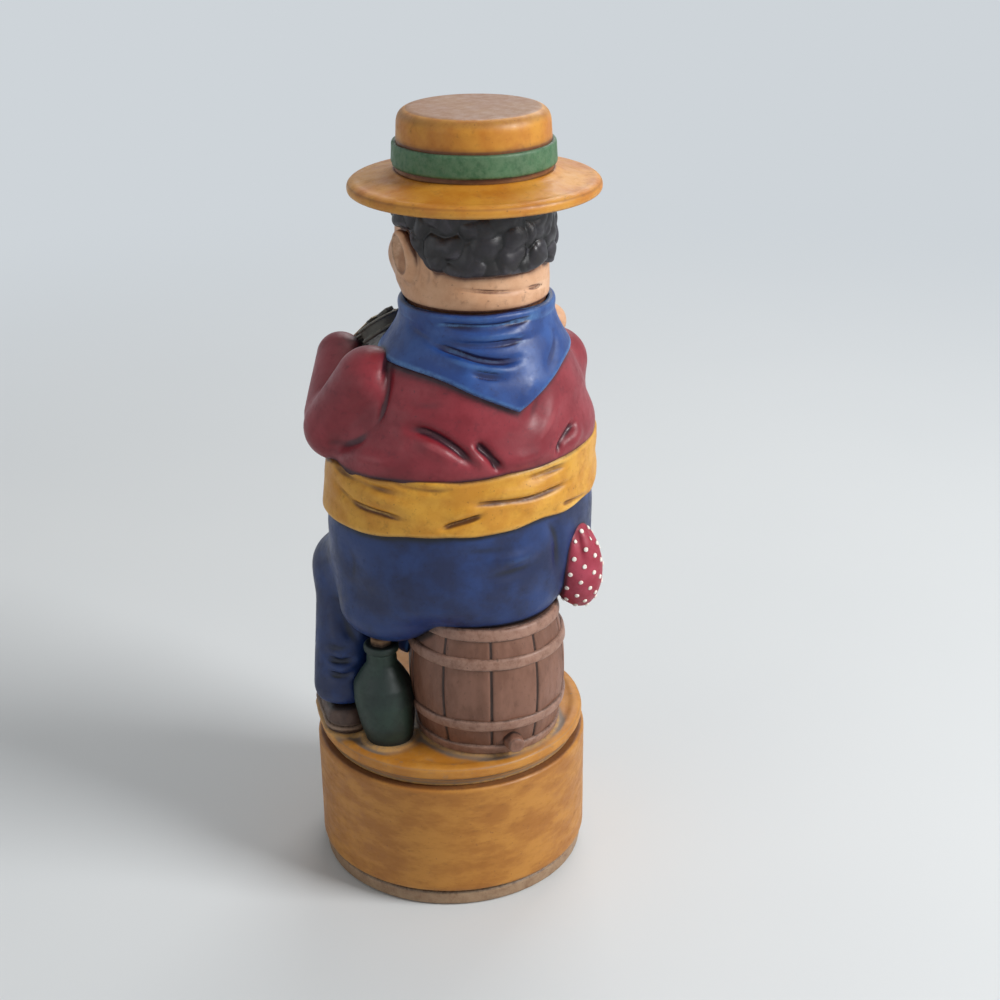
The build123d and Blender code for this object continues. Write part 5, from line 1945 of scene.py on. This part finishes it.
head_world = [hair_form, brim_form, kerchief_base]
head_marks = {"blush": blush, "lips": lips, **fold_marks(nape_folds, head_base)}
hair_world = [head_base, brim_form]
hair_marks = {"crease": parting_shade, "ridge": wave_sheen}
crown_world = [band_form, brim_form]
band_world = [brim_form, crown_form]
for row in (
    ("face_and_neck", head_form, ["head"], "skin", "skin_paint", head_world, 0.5, 8.0, "stopper", head_marks),
    ("curls", hair_form, ["hair"], "hair_dark", "hair_paint", hair_world, 0.4, 3.0, "stopper", hair_marks),
    ("straw_brim", brim_form, ["hat_brim"], "straw_ochre", "straw", [crown_form, skull], 0.5, 3.0, "stopper"),
    (
        "straw_crown", crown_form, ["hat_crown"], "straw_ochre", "crown_paint", crown_world,
        0.5, 3.0, "stopper", {"crown_top": topping},
    ),
    ("ribbon_band", band_form, ["hat_band"], "band_green", "band_paint", band_world, 0.4, 3.0, "stopper"),
):
    piece(*row)

# Eyes and brows
eye_radius = 4.6
iris_radius = 2.3
pupil_radius = 1.0
gaze_drop = 0.3
gaze_edge = 0.3
eyes = [face_point(side * eye_side, eye_height - 0.3, -3.9) for side in (-1, 1)]
brow_places = ((4.6, -0.4), (8.0, 0.9), (12.0, 0.8), (15.6, -1.4))
brow_out = 0.2
brow_radius = 1.3
brow_least_share = 0.15
brows = []
for side in (-1, 1):
    brows.append(rounded_path([face_point(side * s, brow_height + h, brow_out) for s, h in brow_places]))


def eyes_form(p):
    return np.minimum(ball(p, eyes[0], eye_radius), ball(p, eyes[1], eye_radius))


def gaze(reach):
    def rule(p, normals):
        near = [np.hypot(p[:, 0] - e[0], p[:, 2] - e[2] + gaze_drop) for e in eyes]
        return np.clip(0.5 + (reach - np.min(near, axis=0)) / gaze_edge, 0, 1)
    return rule


def brow_form(p):
    d = np.full(len(p), far)
    for path in brows:
        away, share = along(p, path)
        d = np.minimum(d, away - brow_radius * np.sqrt(np.clip(4 * share * (1 - share), brow_least_share, 1)))
    return d + lumps(p, "brow")


gazes = {"iris": gaze(iris_radius), "pupil": gaze(pupil_radius)}
extra("eyes", eyes_form, eyes, 6, 0.25, "skin", "eye_paint", [head_base], "stopper", gazes)
extra("brows", brow_form, np.concatenate(brows), 3, 0.3, "hair_dark", "hair_paint", [head_base], "stopper")

# Floor, lamps, world and camera
floor_half = 12.0
clear_start = 0.3
clear_end = 1.1
backdrop = srgb(206, 212, 217)
daylight = 0.28


def vector(v):
    return Vector((float(v[0]), float(v[1]), float(v[2])))


def directly_seen(tree):
    """1 for camera, glossy and transmission rays."""
    path = add_node(tree, "LightPath")
    shown = sums(tree, path.outputs["Is Camera Ray"], path.outputs["Is Glossy Ray"], "MAXIMUM")
    return sums(tree, shown, path.outputs["Is Transmission Ray"], "MAXIMUM")


floor_mesh = bpy.data.meshes.new("floor")
floor_corners = [(x * floor_half, y * floor_half, 0) for x, y in ((-1, -1), (1, -1), (1, 1), (-1, 1))]
floor_mesh.from_pydata(floor_corners, [], [(0, 1, 2, 3)])
floor = bpy.data.objects.new("floor", floor_mesh)
bpy.context.scene.collection.objects.link(floor)
floor_paint, tree, shader = start("floor_paint")
shade = mix(tree, texture(tree, 400.0), srgb(214, 218, 220), srgb(224, 227, 228))
tree.links.new(shade, shader.inputs["Base Color"])
shader.inputs["Roughness"].default_value = 0.85
place = add_node(tree, "TexCoord").outputs["Object"]
reach = add_node(tree, "VectorMath", {0: place}, operation="LENGTH").outputs["Value"]
clear = sums(tree, span(tree, reach, clear_start, clear_end), directly_seen(tree))
pale = add_node(tree, "Emission", {"Color": backdrop, "Strength": 1.0})
joined = add_node(tree, "MixShader", {0: clear, 1: shader.outputs[0], 2: pale.outputs[0]})
tree.links.new(joined.outputs[0], tree.nodes["Material Output"].inputs["Surface"])
floor_mesh.materials.append(floor_paint)

world = bpy.data.worlds.new("studio")
bpy.context.scene.world = world
world.use_nodes = True
tree = world.node_tree
tree.nodes.clear()
plain = add_node(tree, "Background", {"Color": (1, 1, 1, 1), "Strength": daylight})
pale = add_node(tree, "Background", {"Color": backdrop, "Strength": 1.0})
joined = add_node(tree, "MixShader", {0: directly_seen(tree), 1: plain.outputs[0], 2: pale.outputs[0]})
add_node(tree, "OutputWorld", {"Surface": joined.outputs[0]})

centre = np.array([0.0, 0.0, 0.15])
# Lamps: name, places towards the camera, beside and above in metres, size and power
lamps = [
    ("key", 0.55, 1.30, 1.10, 0.7, 27.0),
    ("fill", 0.9, -1.3, 0.7, 1.2, 2.4),
    ("back", -1.3, 0.4, 1.3, 1.0, 9.0),
]
for name, near, beside, above, size, power in lamps:
    light = bpy.data.lights.new(name, "AREA")
    light.size = size
    light.energy = power
    lamp = bpy.data.objects.new(name, light)
    place = towards * near + across * beside + np.array([0, 0, above])
    lamp.location = vector(place)
    lamp.rotation_euler = vector(centre - place).to_track_quat("-Z", "Y").to_euler()
    bpy.context.scene.collection.objects.link(lamp)

lens = bpy.data.cameras.new("camera")
lens.lens = camera_lens
lens.sensor_width = sensor
lens.clip_start = 0.01
lens.clip_end = 60
camera = bpy.data.objects.new("camera", lens)
columns = [vector(eye_right), vector(eye_up), vector(-aim)]
turned = Matrix((columns[0], columns[1], columns[2])).transposed().to_4x4()
camera.matrix_world = Matrix.Translation(vector(eye * MM)) @ turned
bpy.context.scene.collection.objects.link(camera)
bpy.context.scene.camera = camera
bpy.context.scene.view_settings.view_transform = "Standard"
